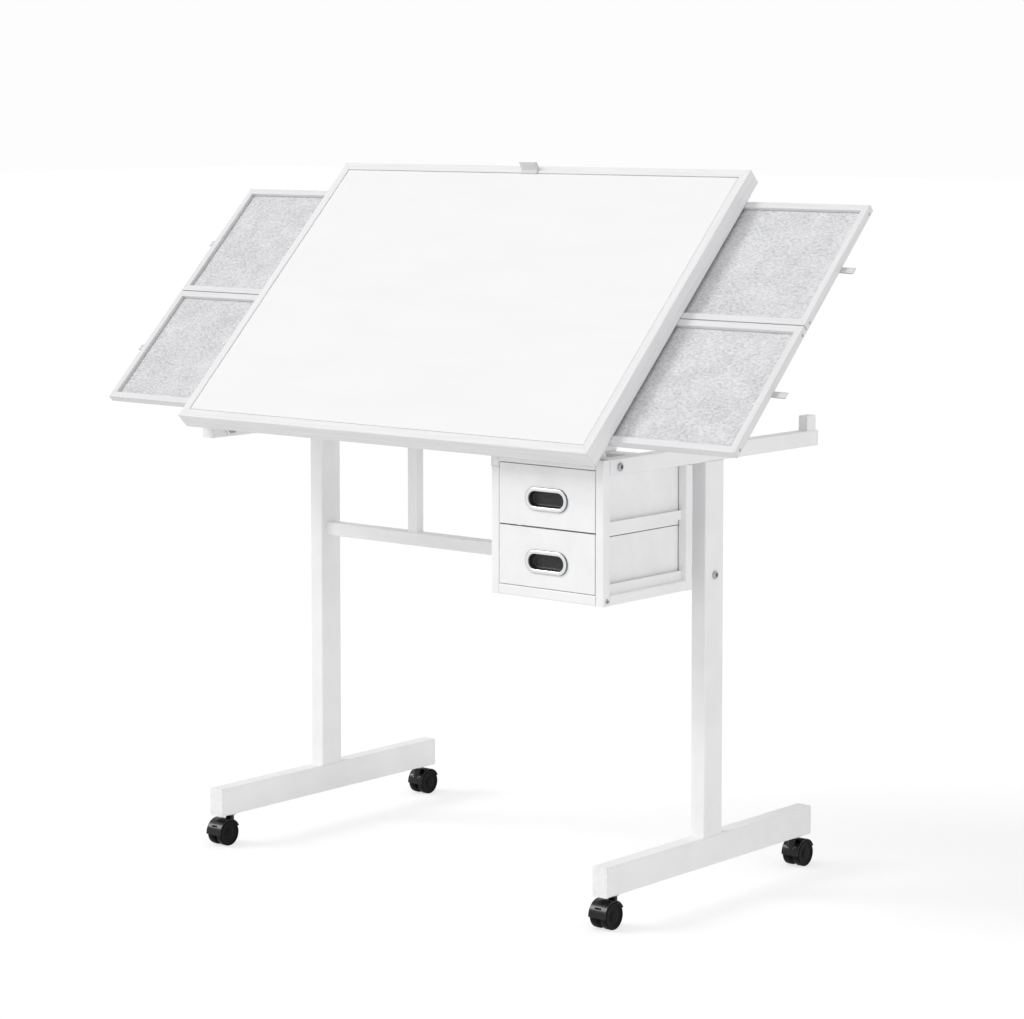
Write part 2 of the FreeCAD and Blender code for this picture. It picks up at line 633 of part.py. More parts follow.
def make_rest_posts():
    """Short posts on the rear ends of the side rails, which carry the board when it lies flat."""
    posts = []
    for side, sign in SIDES.items():
        body = new_body(f"{side}_rest_post")
        outline = new_sketch(body, "XY_Plane")
        rectangle(outline, "0", "0", "rest_post_width", "rest_post_depth")
        pad(body, outline, "pivot_z + lip_bottom - rest_gap - rail_top")
        top = body.Shape.BoundBox.ZMax
        soften(body, "rail_wall", lambda edge: edge.BoundBox.ZMin > top - 0.1, "Chamfer")
        place(body, f"{sign} * rail_x",
              "rail_back_y - rest_post_setback - rest_post_depth / 2", "rail_top")
        posts.append(body)
    group("rest_posts", posts)


def make_end_cap(name, width, height, wall, corner):
    """Plastic cap: a plate on the end of the tube and a plug inside it, pointing to -Y."""
    body = new_body(name)
    plate = new_sketch(body, "XZ_Plane")
    round_rectangle(plate, "0", "0", width, height, corner)
    pad(body, plate, "cap_thick", backwards=True)
    plug = new_sketch(body, "XZ_Plane")
    slack = f"2 * ({wall} + cap_fit)"
    rectangle(plug, "0", "0", f"{width} - {slack}", f"{height} - {slack}")
    pad(body, plug, "cap_plug")
    return body


def make_end_caps():
    """End caps of the feet and the side rails; the cabinet closes the right rail's front end."""
    tubes = {
        "foot": ("foot_width", "foot_height", "leg_wall", "leg_corner", "leg_x",
                 "leg_setback - foot_length / 2", "leg_setback + foot_length / 2",
                 "caster_height + foot_height / 2"),
        "rail": ("rail_width", "rail_height", "rail_wall", "rail_corner", "rail_x",
                 "-rail_front_reach", "rail_back_y", "pivot_z"),
    }
    caps = []
    for kind, (width, height, wall, corner, x, front, back, z) in tubes.items():
        for side, sign in SIDES.items():
            for end, y, turn in (("front", f"{front} + cap_thick", "180"),
                                 ("back", f"{back} - cap_thick", "0")):
                if (side, end, kind) == ("right", "front", "rail"):
                    continue
                cap = make_end_cap(f"{side}_{end}_{kind}_cap", width, height, wall, corner)
                place(cap, f"{sign} * {x}", y, z, Z_AXIS, turn)
                caps.append(cap)
    group("tube_end_caps", caps)


def make_cross_rails():
    """The two rails between the uprights and the two mid posts that join them."""
    span = "2 * leg_inner_x"
    upper = tube("upper_cross_rail", "YZ_Plane", "cross_depth", "cross_rail_height", "rail_wall",
                 "rail_corner", span)
    place(upper, y="leg_setback", z="rail_bottom - cross_rail_height / 2")
    keep(upper)
    lower = tube("stretcher", "YZ_Plane", "cross_depth", "stretcher_height", "rail_wall",
                 "rail_corner", span)
    place(lower, y="leg_setback", z="stretcher_level + stretcher_height / 2")
    keep(lower)
    posts = new_body("mid_posts")
    section = new_sketch(posts, "XY_Plane")
    for sign in SIDES.values():
        x = f"{sign} * mid_post_spacing / 2"
        round_rectangle(section, x, "0", "mid_post_width", "mid_post_depth", "rail_corner")
        rectangle(section, x, "0", "mid_post_width - 2 * rail_wall", "mid_post_depth - 2 * rail_wall")
    pad(posts, section, "cross_rail_bottom - stretcher_top")
    place(posts, y="leg_setback", z="stretcher_top")
    keep(posts)


def make_stay_tracks():
    """Channels on the inner faces of the side rails, in which the stay's foot rod rolls."""
    body = new_body("stay_tracks")
    section = new_sketch(body, "XZ_Plane")
    high, slot = "track_slot / 2 + track_wall", "track_slot / 2"
    for sign in SIDES.values():
        back, web, mouth = (f"{sign} * {x}" for x in
                            ("rail_inner_x", "(rail_inner_x - track_wall)", "track_inner_x"))
        polygon(section, [(back, f"-({high})"), (back, high), (mouth, high), (mouth, slot),
                          (web, slot), (web, f"-{slot}"), (mouth, f"-{slot}"), (mouth, f"-({high})")])
    pad(body, section, "stay_flat_y - stay_foot_y + 2 * track_margin", both_ways=True)
    place(body, y="(stay_foot_y + stay_flat_y) / 2", z="pivot_z")
    keep(body)


def make_bolt(name, head_radius, head_height, shank_radius, length):
    """Round-headed bolt along X, its head on the +X side of the origin."""
    body = new_body(name)
    profile = new_sketch(body, "XY_Plane")
    polygon(profile, [(f"-({length})", "0"), (f"-({length})", shank_radius), ("0", shank_radius),
                      ("0", head_radius), (head_height, f"{head_radius} * 0.6"), (head_height, "0")])
    revolve(body, profile)
    return body


def make_nut(name):
    """Hexagon nut along X, centred on its origin."""
    body = new_body(name)
    outline = new_sketch(body, "YZ_Plane")
    across = "nut_flats / 2 / cos(30)"
    polygon(outline, [(f"{across} * cos({turn})", f"{across} * sin({turn})")
                      for turn in range(0, 360, 60)])
    circle(outline, "0", "0", "pin_radius + fixed_fit")
    pad(body, outline, "nut_thick", both_ways=True)
    return body


def make_frame_bolts():
    """Tilt bolts with their nuts, stretcher bolts, and the cabinet's small bolts."""
    parts = []
    outer = "base_width / 2"
    nut_x = "hinge_lug_inner_x - nut_gap - nut_thick / 2"
    small = ("small_head_radius", "small_head_height", "small_shank_radius", "small_bolt_length")
    for side, sign in SIDES.items():
        turn = "0" if side == "right" else "180"
        tilt = make_bolt(f"{side}_tilt_bolt", "bolt_head_radius", "bolt_head_height", "pin_radius",
                         "rail_width + lug_gap + lug_thick + nut_gap + nut_thick + bolt_end")
        place(tilt, f"{sign} * {outer}", "pivot_y", "pivot_z", Z_AXIS, turn)
        nut = make_nut(f"{side}_tilt_nut")
        place(nut, f"{sign} * ({nut_x})", "pivot_y", "pivot_z")
        brace = make_bolt(f"{side}_stretcher_bolt", "bolt_head_radius", "bolt_head_height",
                          "pin_radius", "stretcher_bolt_length")
        place(brace, f"{sign} * {outer}", "leg_setback", "stretcher_level + stretcher_height / 2",
              Z_AXIS, turn)
        corner = make_bolt(f"{side}_cabinet_bolt", *small)
        place(corner, f"cabinet_x + {sign} * cabinet_width / 2",
              "stile_size / 2 - rail_front_reach", "cabinet_bottom + stile_size / 2", Z_AXIS, turn)
        parts += [tilt, nut, brace, corner]
    group("frame_bolts", parts)


def make_caster_sockets():
    """Flanged sleeves in the feet, in which the caster stems turn."""
    sockets = []
    for side, sign in SIDES.items():
        for end, turn in (("front", "-1"), ("rear", "1")):
            body = new_body(f"{end}_{side}_socket")
            profile = new_sketch(body, "XZ_Plane")
            bore, flange = "pin_radius + running_fit", "-socket_flange_thick"
            polygon(profile, [(bore, flange), ("socket_flange_radius", flange),
                              ("socket_flange_radius", "0"), ("socket_radius", "0"),
                              ("socket_radius", "stem_rise"), (bore, "stem_rise")])
            revolve(body, profile, "V_Axis")
            place(body, f"{sign} * leg_x", f"leg_setback + {turn} * caster_y", "caster_height")
            sockets.append(body)
    group("caster_sockets", sockets)


# ---------------------------------------------------------------- cabinet

def make_cabinet_tube(name, role, length, x, y, z, across="stile_size"):
    """One tube of the cabinet's frame, centred on x, y, z."""
    body = tube(name, role, across, "stile_size", "rail_wall", "rail_corner", length)
    place(body, x, y, z)
    return body


def make_cabinet_frames():
    """Side frames: two stiles and a bottom rail each; the right front stile closes its rail."""
    half = "stile_size / 2"
    depth = "(cabinet_depth - 2 * stile_size)"
    for side, sign in SIDES.items():
        x = f"cabinet_x + {sign} * (cabinet_width / 2 - {half})"
        members = []
        for end, y in (("front", f"{half} - rail_front_reach"), ("rear", f"cabinet_back_y - {half}")):
            top = "rail_top" if (side, end) == ("right", "front") else "rail_bottom"
            stile = make_cabinet_tube(f"cabinet_{side}_{end}_stile", "XY_Plane",
                                      f"{top} - cabinet_bottom", x, y, f"({top} + cabinet_bottom) / 2")
            if end == "front":
                drill(stile, "YZ_Plane", "0", f"{half} - ({top} - cabinet_bottom) / 2",
                      "small_shank_radius + fixed_fit", "2 * stile_size")
            members.append(stile)
        members.append(make_cabinet_tube(f"cabinet_{side}_bottom_rail", "XZ_Plane", depth, x,
                                         "cabinet_depth / 2 - rail_front_reach",
                                         f"cabinet_bottom + {half}"))
        group(f"cabinet_{side}_frame", members)


def make_cabinet_rails():
    """Rails across the front and the back of the cabinet, and the hanger along its left side."""
    half = "stile_size / 2"
    front = f"{half} - rail_front_reach"
    low = f"cabinet_bottom + {half}"
    hanger_x = f"cabinet_x - cabinet_width / 2 + {half}"
    rails = [
        make_cabinet_tube("cabinet_front_bottom_rail", "YZ_Plane", "opening_width", "cabinet_x",
                          front, low),
        make_cabinet_tube("cabinet_rear_bottom_rail", "YZ_Plane", "opening_width", "cabinet_x",
                          f"cabinet_back_y - {half}", low),
        make_cabinet_tube("cabinet_front_top_rail", "YZ_Plane", "opening_width", "cabinet_x",
                          "top_rail_depth / 2 - rail_front_reach", f"rail_top - {half}",
                          "top_rail_depth"),
    ]
    group("cabinet_cross_rails", rails)
    hanger = tube("cabinet_hanger_rail", "XZ_Plane", "stile_size", "rail_height", "rail_wall",
                  "rail_corner", "cross_back_y + rail_front_reach")
    place(hanger, hanger_x, "(cross_back_y - rail_front_reach) / 2", "pivot_z")
    keep(hanger)


def make_cabinet_panels():
    """Back panel, notched round the side rail, and bottom panel, between the frame tubes."""
    back = new_body("cabinet_back_panel")
    outline = new_sketch(back, "XZ_Plane")
    left, right, notch = "-opening_width / 2", "opening_width / 2", "rail_inner_x - cabinet_x"
    top, shoulder = "rail_top - back_panel_gap - cabinet_rail_top", "rail_bottom - cabinet_rail_top"
    polygon(outline, [(left, "0"), (right, "0"), (right, shoulder), (notch, shoulder), (notch, top),
                      (left, top)])
    pad(back, outline, "panel_thick")
    place(back, "cabinet_x", "cabinet_back_y", "cabinet_rail_top")
    keep(back)
    floor = new_body("cabinet_bottom_panel")
    outline = new_sketch(floor, "XY_Plane")
    rectangle(outline, "0", "0", "opening_width", "cabinet_depth - 2 * stile_size")
    pad(floor, outline, "panel_thick", backwards=True)
    place(floor, "cabinet_x", "cabinet_depth / 2 - rail_front_reach",
          "cabinet_rail_top - bottom_panel_sink")
    keep(floor)


def make_drawer_runners():
    """Four L-shaped runners between the stiles, one under each side of each drawer."""
    runners = []
    for side, sign in SIDES.items():
        for level, rise in (("lower", "0"), ("upper", "upper_runner_level")):
            body = new_body(f"{level}_{side}_runner")
            section = new_sketch(body, "XZ_Plane")
            web, lip = f"{sign} * -runner_wall", f"{sign} * -runner_flange"
            polygon(section, [("0", "0"), ("0", "runner_height"), (web, "runner_height"),
                              (web, "runner_wall"), (lip, "runner_wall"), (lip, "0")])
            pad(body, section, "cabinet_depth - 2 * stile_size", both_ways=True)
            place(body, f"cabinet_x + {sign} * (cabinet_width / 2 - runner_recess)",
                  "cabinet_depth / 2 - rail_front_reach", f"cabinet_rail_top + {rise}")
            runners.append(body)
    group("drawer_runners", runners)


# ---------------------------------------------------------------- drawers

def make_drawer_front(level, height):
    """Flush front panel with a blind recess for the pull's cup."""
    body = new_body(f"{level}_drawer_front")
    outline = new_sketch(body, "XZ_Plane")
    rectangle(outline, "0", f"{height} / 2", "drawer_width", height)
    pad(body, outline, "drawer_front_thick", backwards=True)
    soften(body, "drawer_gap", lambda edge: edge.BoundBox.YMax < 0.1)
    recess = new_sketch(body, "XZ_Plane")
    stadium(recess, "0", f"{height} - pull_drop", "pull_slot_length + 2 * (pull_cup_wall + fixed_fit)",
            "pull_slot_height + 2 * (pull_cup_wall + fixed_fit)")
    pocket(body, recess, "pull_cup_depth + fixed_fit", both_ways=False)
    place(body, "cabinet_x", "-rail_front_reach", f"{level}_front_bottom")
    keep(body)


def make_drawer_box(level):
    """Drawer box: two sides, a back and a bottom, as separate boards behind the front."""
    side_x = "(drawer_width / 2 - drawer_board / 2)"
    inside = "drawer_width - 2 * drawer_board"
    middle_y = "drawer_box_depth / 2"
    wall_z = "drawer_box_height / 2"
    boards = []
    for side, sign in SIDES.items():
        board = bar(f"{level}_drawer_{side}_side", "YZ_Plane", "drawer_box_depth",
                    "drawer_box_height", "drawer_board")
        place(board, f"{sign} * {side_x}", middle_y, wall_z)
        boards.append(board)
    back = bar(f"{level}_drawer_back", "XZ_Plane", inside, "drawer_box_height", "drawer_board")
    place(back, "0", "drawer_box_depth - drawer_board / 2", wall_z)
    floor = bar(f"{level}_drawer_floor", "XY_Plane", inside, "drawer_box_depth - drawer_board",
                "drawer_floor")
    place(floor, "0", "(drawer_box_depth - drawer_board) / 2", "drawer_floor / 2")
    box = group(f"{level}_drawer_box", boards + [back, floor])
    place(box, "cabinet_x", "drawer_front_thick - rail_front_reach", f"{level}_box_bottom")


def make_drawer_pull(level, height):
    """Oval pull: a bright ring on the front and a dark cup sunk into it."""
    ring = new_body(f"{level}_pull_ring")
    outline = new_sketch(ring, "XZ_Plane")
    stadium(outline, "0", "0", "pull_length", "pull_height")
    stadium(outline, "0", "0", "pull_slot_length", "pull_slot_height")
    pad(ring, outline, "pull_ring_thick")
    face = ring.Shape.BoundBox.YMin
    soften(ring, "pull_ring_thick * 0.45", lambda edge: edge.BoundBox.YMax < face + 0.1, "Chamfer")
    cup = new_body(f"{level}_pull_cup")
    outline = new_sketch(cup, "XZ_Plane")
    stadium(outline, "0", "0", "pull_slot_length + 2 * pull_cup_wall",
            "pull_slot_height + 2 * pull_cup_wall")
    pad(cup, outline, "pull_cup_depth", backwards=True)
    hollow = new_sketch(cup, "XZ_Plane")
    stadium(hollow, "0", "0", "pull_slot_length", "pull_slot_height")
    pocket(cup, hollow, "pull_cup_depth - pull_cup_wall", both_ways=False)
    pull = group(f"{level}_drawer_pull", [ring, cup])
    place(pull, "cabinet_x", "-rail_front_reach", f"{level}_front_bottom + {height} - pull_drop")


def make_drawers():
    """The two drawers, lower and upper."""
    for level in ("lower", "upper"):
        height = f"{level}_front_height"
        make_drawer_front(level, height)
        make_drawer_box(level)
        make_drawer_pull(level, height)


# ---------------------------------------------------------------- board

def make_rim_member(name, role, edge, inward, corners):
    """One mitred side of the rim: hollow, with the ledge that carries the cover."""
    body = new_body(name)
    along_x = role == "YZ_Plane"
    section = new_sketch(body, role, "0" if along_x else "board_middle")

    def inside(distance):
        return f"{edge} + {inward} * ({distance})"

    polygon(section, [
        (inside("0"), "rim_bottom"), (inside("rim_width"), "rim_bottom"),
        (inside("rim_width"), "panel_top"), (inside("rim_width + ledge_width"), "panel_top"),
        (inside("rim_width + ledge_width"), "cover_bottom"), (inside("rim_width"), "cover_bottom"),
        (inside("rim_width"), "pivot_drop"), (inside("0"), "pivot_drop")])
    rectangle(section, inside("rim_width / 2"), "(rim_bottom + pivot_drop) / 2",
              "rim_width - 2 * rim_wall", "rim_height - 2 * rim_wall")
    pad(body, section, "board_width" if along_x else "board_depth", both_ways=True)
    mitres = new_sketch(body, "XY_Plane", "(rim_bottom + pivot_drop) / 2")
    for corner_x, corner_y, way_x, way_y in corners:
        outside, reach = "ledge_width", "(rim_width + 2 * ledge_width)"
        near = (f"{corner_x} - {way_x} * {outside}", f"{corner_y} - {way_y} * {outside}")
        far = (f"{corner_x} + {way_x} * {reach}", f"{corner_y} + {way_y} * {reach}")
        polygon(mitres, [near, (near[0], far[1]) if along_x else (far[0], near[1]), far])
    pocket(body, mitres, "2 * rim_height")
    return body


def make_rim():
    """The four mitred sides of the board's rim."""
    left, right = "-board_width / 2", "board_width / 2"
    front, back = "board_front", "board_back"
    members = [
        make_rim_member("front_rim", "YZ_Plane", front, "1",
                        [(left, front, "1", "1"), (right, front, "-1", "1")]),
        make_rim_member("back_rim", "YZ_Plane", back, "-1",
                        [(left, back, "1", "-1"), (right, back, "-1", "-1")]),
        make_rim_member("left_rim", "XZ_Plane", left, "1",
                        [(left, front, "1", "1"), (left, back, "1", "-1")]),
        make_rim_member("right_rim", "XZ_Plane", right, "-1",
                        [(right, front, "-1", "1"), (right, back, "-1", "-1")]),
    ]
    place_on_board(group("board_rim", members))


def make_board_sheet(name, margin, thick, z):
    """A flat panel of the board, its margin measured from the outside of the rim."""
    body = new_body(name)
    outline = new_sketch(body, "XY_Plane")
    rectangle(outline, "0", "0", f"board_width - 2 * ({margin})", f"board_depth - 2 * ({margin})")
    pad(body, outline, thick)
    place_on_board(body, "0", "board_middle", z)
    keep(body)


def make_cover():
    """The loose cover panel, with a notch in its rear edge, and the ribbon tab that fills it."""
    cover = new_body("cover_panel")
    outline = new_sketch(cover, "XY_Plane")
    margin = "2 * (rim_width + cover_gap)"
    rectangle(outline, "0", "0", f"board_width - {margin}", f"board_depth - {margin}")
    pad(cover, outline, "cover_thick")
    notch = new_sketch(cover, "XY_Plane")
    rectangle(notch, "-cover_tab_shift", "board_depth / 2 - rim_width - cover_gap",
              "cover_tab_width + 2 * cover_tab_gap",
              "2 * (cover_tab_thick + cover_tab_gap - cover_gap)")
    pocket(cover, notch, "2 * cover_thick")
    place_on_board(cover, "0", "board_middle", "cover_bottom")
    keep(cover)
    height = "(cover_thick + cover_tab_height)"
    tab = bar("cover_tab", "XY_Plane", "cover_tab_width", "cover_tab_thick", height)
    place_on_board(tab, "-cover_tab_shift",
                   "board_back - rim_width - cover_tab_gap - cover_tab_thick / 2",
                   f"cover_bottom + {height} / 2")
    keep(tab)


def make_guides():
    """Channels under the front and rear of the board and the tee between the trays."""
    top, web_start = "panel_bottom", "panel_bottom - guide_wall"
    front_foot = "board_front + rim_width"
    rear_foot = "board_back - rim_width"
    channels = {
        "front_guide": ("lane_start", "1", front_foot, f"{front_foot} - front_guide_overhang"),
        "rear_guide": ("lane_end", "-1", rear_foot, f"{rear_foot} + front_guide_overhang"),
    }
    for name, (lane, way, foot, heel) in channels.items():
        body = new_body(name)
        section = new_sketch(body, "YZ_Plane")
        back = f"{lane} - {way} * guide_wall"
        tip = f"{lane} + {way} * guide_lip"
        polygon(section, [
            (foot, top), (lane, top), (lane, "lip_top"), (tip, "lip_top"), (tip, "lip_bottom"),
            (heel, "lip_bottom"), (heel, "lip_top"), (back, "lip_top"), (back, web_start),
            (foot, web_start)])
        pad(body, section, "guide_length", both_ways=True)
        place_on_board(body)
        keep(body)
    body = new_body("middle_guide")
    section = new_sketch(body, "YZ_Plane")
    web, flange = "middle_web / 2", "middle_flange / 2"
    polygon(section, [(f"-{web}", top), (f"-{web}", "lip_top"), (f"-{flange}", "lip_top"),
                      (f"-{flange}", "lip_bottom"), (flange, "lip_bottom"), (flange, "lip_top"),
                      (web, "lip_top"), (web, top)])
    pad(body, section, "guide_length", both_ways=True)
    place_on_board(body, y="lane_middle")
    keep(body)


def make_lug(name, sign, front, back, ear, outer_x, hole_fit):
    """Lug under a guide: a plate with a round end about its pin and a bent foot flange."""
    body = new_body(name)
    plate = new_sketch(body, "YZ_Plane", f"{sign} * ({outer_x} - lug_thick / 2)")
    polygon(plate, [(f"-{ear}", "0"), (ear, "0"), (ear, f"{ear} / 2"), (back, "lip_bottom * 0.6"),
                    (back, "lip_bottom"), (front, "lip_bottom"), (front, "lip_bottom * 0.6"),
                    (f"-{ear}", f"{ear} / 2")])
    pad(body, plate, "lug_thick", both_ways=True)
    end = new_sketch(body, "YZ_Plane", f"{sign} * ({outer_x} - lug_thick / 2)")
    sector(end, "0", "0", "0", ear, "180", "360")
    pad(body, end, "lug_thick", both_ways=True)
    foot = new_sketch(body, "XZ_Plane", f"({front} + {back}) / 2")
    width = "(lug_thick + lug_foot_width)"
    rectangle(foot, f"{sign} * ({outer_x} - {width} / 2)", "lip_bottom - lug_foot_thick / 2", width,
              "lug_foot_thick")
    pad(body, foot, f"{back} - ({front})", both_ways=True)
    drill(body, "YZ_Plane", "0", "0", f"pin_radius + {hole_fit}", f"4 * lug_thick",
          f"{sign} * ({outer_x} - lug_thick / 2)")
    return body


def make_lugs():
    """Hinge lugs on the front guide and stay lugs on the middle guide."""
    hinge, stay = [], []
    for side, sign in SIDES.items():
        hinge.append(make_lug(f"{side}_hinge_lug", sign, "-hinge_ear_radius", "hinge_lug_back",
                              "hinge_ear_radius", "hinge_lug_outer_x", "running_fit"))
        stay.append(make_lug(f"{side}_stay_lug", sign, "-stay_lug_width / 2", "stay_lug_width / 2",
                             "stay_ear_radius", "stay_lug_outer_x", "fixed_fit"))
    place_on_board(group("hinge_lugs", hinge))
    place_on_board(group("stay_lugs", stay), y="lane_middle")


def make_stay_pins():
    """Shouldered pins in the stay lugs, on which the stay's arms turn."""
    pins = []
    head, rim = "arm_thick / 2", "pin_radius + lug_gap"
    inner, outer = "stay_lug_outer_x - lug_thick", "arm_outer_x + swivel_gap"
    for side, sign in SIDES.items():
        body = new_body(f"{side}_stay_pin")
        profile = new_sketch(body, "XY_Plane")
        polygon(profile, [
            (f"{sign} * ({inner} - {head})", "0"), (f"{sign} * ({inner} - {head})", rim),
            (f"{sign} * ({inner})", rim), (f"{sign} * ({inner})", "pin_radius"),
            (f"{sign} * ({outer})", "pin_radius"), (f"{sign} * ({outer})", rim),
            (f"{sign} * ({outer} + {head})", rim), (f"{sign} * ({outer} + {head})", "0")])
        revolve(body, profile)
        pins.append(body)
    place_on_board(group("stay_pins", pins), y="lane_middle")


# ---------------------------------------------------------------- stay

def make_stay():
    """Prop stay: two flat arms with round ends, a cross bar, and the rod through their feet."""
    parts = []
    for side, sign in SIDES.items():
        body = new_body(f"{side}_stay_arm")
        plane_x = f"{sign} * (arm_inner_x + arm_thick / 2)"
        outline = new_sketch(body, "YZ_Plane", plane_x)
        stadium(outline, "stay_length / 2", "0", "stay_length + arm_width", "arm_width")
        circle(outline, "0", "0", "pin_radius + running_fit")
        circle(outline, "stay_length", "0", "pin_radius + fixed_fit")
        pad(body, outline, "arm_thick", both_ways=True)
        parts.append(body)
    cross = new_body("stay_cross_bar")
    section = new_sketch(cross, "YZ_Plane")
    circle(section, "stay_bar_offset", "0", "stay_bar_radius")
    pad(cross, section, "2 * arm_inner_x", both_ways=True)
    parts.append(cross)
    place(group("prop_stay", parts), "0", "stay_pin_y", "stay_pin_z", X_AXIS, "-tilt_angle")
    rod = new_body("stay_rod")
    section = new_sketch(rod, "YZ_Plane")
    circle(section, "0", "0", "pin_radius")
    pad(rod, section, "2 * (rail_inner_x - track_wall - rod_end_gap)", both_ways=True)
    place(rod, "0", "stay_foot_y", "pivot_z", X_AXIS, "-tilt_angle")
    keep(rod)


# ---------------------------------------------------------------- trays

def make_tray(row, side, sign):
    """One sliding tray: a grooved frame, its bottom, and the felt with the ribbon tab."""
    spot = (f"{sign} * tray_x", f"{row}_tray_y", "tray_bottom")
    inner = ("tray_length - 2 * tray_strip", "tray_width - 2 * tray_strip")
    floor_top = "tray_thick - tray_recess - felt_thick"

    frame = new_body(f"{row}_{side}_tray_frame")
    outline = new_sketch(frame, "XY_Plane")
    round_rectangle(outline, "0", "0", "tray_length", "tray_width", "rail_wall")
    rectangle(outline, "0", "0", *inner)
    pad(frame, outline, "tray_thick")
    groove = new_sketch(frame, "XY_Plane", f"{floor_top} - tray_floor / 2")
    rectangle(groove, "0", "0", *(f"{size} + 2 * tray_groove" for size in inner))
    pocket(frame, groove, "tray_floor")

    floor = new_body(f"{row}_{side}_tray_bottom")
    outline = new_sketch(floor, "XY_Plane", f"{floor_top} - tray_floor")
    rectangle(outline, "0", "0", *(f"{size} + 2 * tray_groove - 2 * panel_gap" for size in inner))
    pad(floor, outline, "tray_floor")
    for piece in (frame, floor):
        place_on_board(piece, *spot)
        keep(piece)

    felt = new_body(f"{row}_{side}_tray_felt")
    outline = new_sketch(felt, "XY_Plane", floor_top)
    rectangle(outline, "0", "0", *(f"{size} - 2 * felt_gap" for size in inner))
    pad(felt, outline, "felt_thick")
    tab = new_body(f"{row}_{side}_tray_tab")
    outline = new_sketch(tab, "XY_Plane")
    overlap = "tray_strip"
    rectangle(outline, f"{sign} * (tray_length / 2 + (tray_tab_reach - {overlap}) / 2)", "0",
              f"tray_tab_reach + {overlap}", "tray_tab_width")
    pad(tab, outline, "tray_tab_thick", backwards=True)
    place_on_board(group(f"{row}_{side}_tray_fabric", [felt, tab]), *spot)


def make_trays():
    """The four trays."""
    for row in ("lower", "upper"):
        for side, sign in SIDES.items():
            make_tray(row, side, sign)


# ---------------------------------------------------------------- casters

def make_caster_hood(name, x, y, turn):
    """Moulded hood over the two wheels, with its web, axle boss, slot, neck and steel stem."""
    hood = new_body(f"{name}_caster_shell")
    axle = ("-caster_trail", "wheel_radius")
    shell = new_sketch(hood, "YZ_Plane")
    sector(shell, *axle, "hood_inner_radius", "hood_outer_radius", "hood_back_angle",
           "hood_front_angle")
    pad(hood, shell, "hood_width", both_ways=True)
    web = new_sketch(hood, "YZ_Plane")
    sector(web, *axle, "0", "hood_outer_radius", "hood_back_angle", "hood_web_angle")
    pad(hood, web, "hood_web", both_ways=True)
    boss = new_sketch(hood, "YZ_Plane")
    circle(boss, *axle, "hood_boss_radius")
    pad(hood, boss, "hood_web", both_ways=True)
    neck = new_sketch(hood, "XY_Plane", "neck_bottom")
    circle(neck, "0", "0", "neck_radius")
    pad(hood, neck, "neck_top - neck_bottom")
    for way in SIDES.values():
        well = new_sketch(hood, "YZ_Plane", f"{way} * (hood_web + hood_width) / 4")
        circle(well, *axle, "hood_inner_radius")
        pocket(hood, well, "(hood_width - hood_web) / 2")
    slot = new_sketch(hood, "YZ_Plane")
    rectangle(slot, "-caster_trail + hood_outer_radius * cos(hood_slot_angle)",
              "wheel_radius + hood_outer_radius * sin(hood_slot_angle)", "2 * hood_wall + hood_gap",
              "hood_slot_height")
    pocket(hood, slot, "hood_slot_width")
    drill(hood, "YZ_Plane", *axle, "axle_radius + running_fit", "2 * hood_web")
    drill(hood, "XY_Plane", "0", "0", "pin_radius + fixed_fit", "2 * (neck_top - stem_seat)",
          "neck_top")
    stem = new_body(f"{name}_caster_stem")
    section = new_sketch(stem, "XY_Plane", "stem_seat")
    circle(section, "0", "0", "pin_radius")
    pad(stem, section, "caster_height + stem_rise - stem_seat")
    place(group(f"{name}_caster_hood", [hood, stem]), x, y, "0", Z_AXIS, turn)


def make_caster_wheels(name, x, y, turn):
    """Pair of dished wheels pressed on one axle."""
    wheels = new_body(f"{name}_caster_pair")
    profile = new_sketch(wheels, "XY_Plane")
    inner, outer = "wheel_gap / 2", "wheel_gap / 2 + wheel_width"
    bore, tread, dish = "axle_radius + fixed_fit", "wheel_radius", "wheel_dish"
    polygon(profile, [
        (inner, bore), (inner, tread), (f"{outer} - {dish}", tread), (outer, f"{tread} - {dish}"),
        (outer, f"{tread} - 3 * {dish}"), (f"{outer} - {dish}", f"{tread} - 4 * {dish}"),
        (f"{outer} - {dish}", bore)])
    wheel = revolve(wheels, profile)
    mirror(wheels, wheel, "YZ_Plane")
    axle = new_body(f"{name}_caster_axle")
    section = new_sketch(axle, "YZ_Plane")
    circle(section, "0", "0", "axle_radius")
    pad(axle, section, f"2 * ({outer} - {dish})", both_ways=True)
    pair = group(f"{name}_caster_wheels", [wheels, axle])
    along = "1" if turn == "0" else "-1"
    place(pair, x, f"{y} - {along} * caster_trail", "wheel_radius")


def make_casters():
    """Four swivel casters; the front pair points forward and the rear pair backward."""
    for side, sign in SIDES.items():
        for end, way, turn in (("front", "-1", "0"), ("rear", "1", "180")):
            name = f"{end}_{side}"
            x, y = f"{sign} * leg_x", f"leg_setback + {way} * caster_y"
            make_caster_hood(name, x, y, turn)
            make_caster_wheels(name, x, y, turn)


# ---------------------------------------------------------------- table

def build():
    """Builds every sub-part of the table."""
    for side, sign in SIDES.items():
        make_foot(side, sign)
        make_upright(side, sign)
        make_side_rail(side, sign)
    make_rest_posts()
    make_end_caps()
    make_cross_rails()
    make_stay_tracks()
    make_frame_bolts()
    make_caster_sockets()
    make_cabinet_frames()
    make_cabinet_rails()
    make_cabinet_panels()
    make_drawer_runners()
    make_drawers()
    make_rim()
    make_board_sheet("board_panel", "rim_width + panel_gap", "board_panel_thick", "panel_bottom")
    make_board_sheet("board_felt", "rim_width + ledge_width + felt_gap", "felt_thick", "panel_top")
    make_cover()
    make_guides()
    make_lugs()
    make_stay_pins()
    make_stay()
    make_trays()
    make_casters()


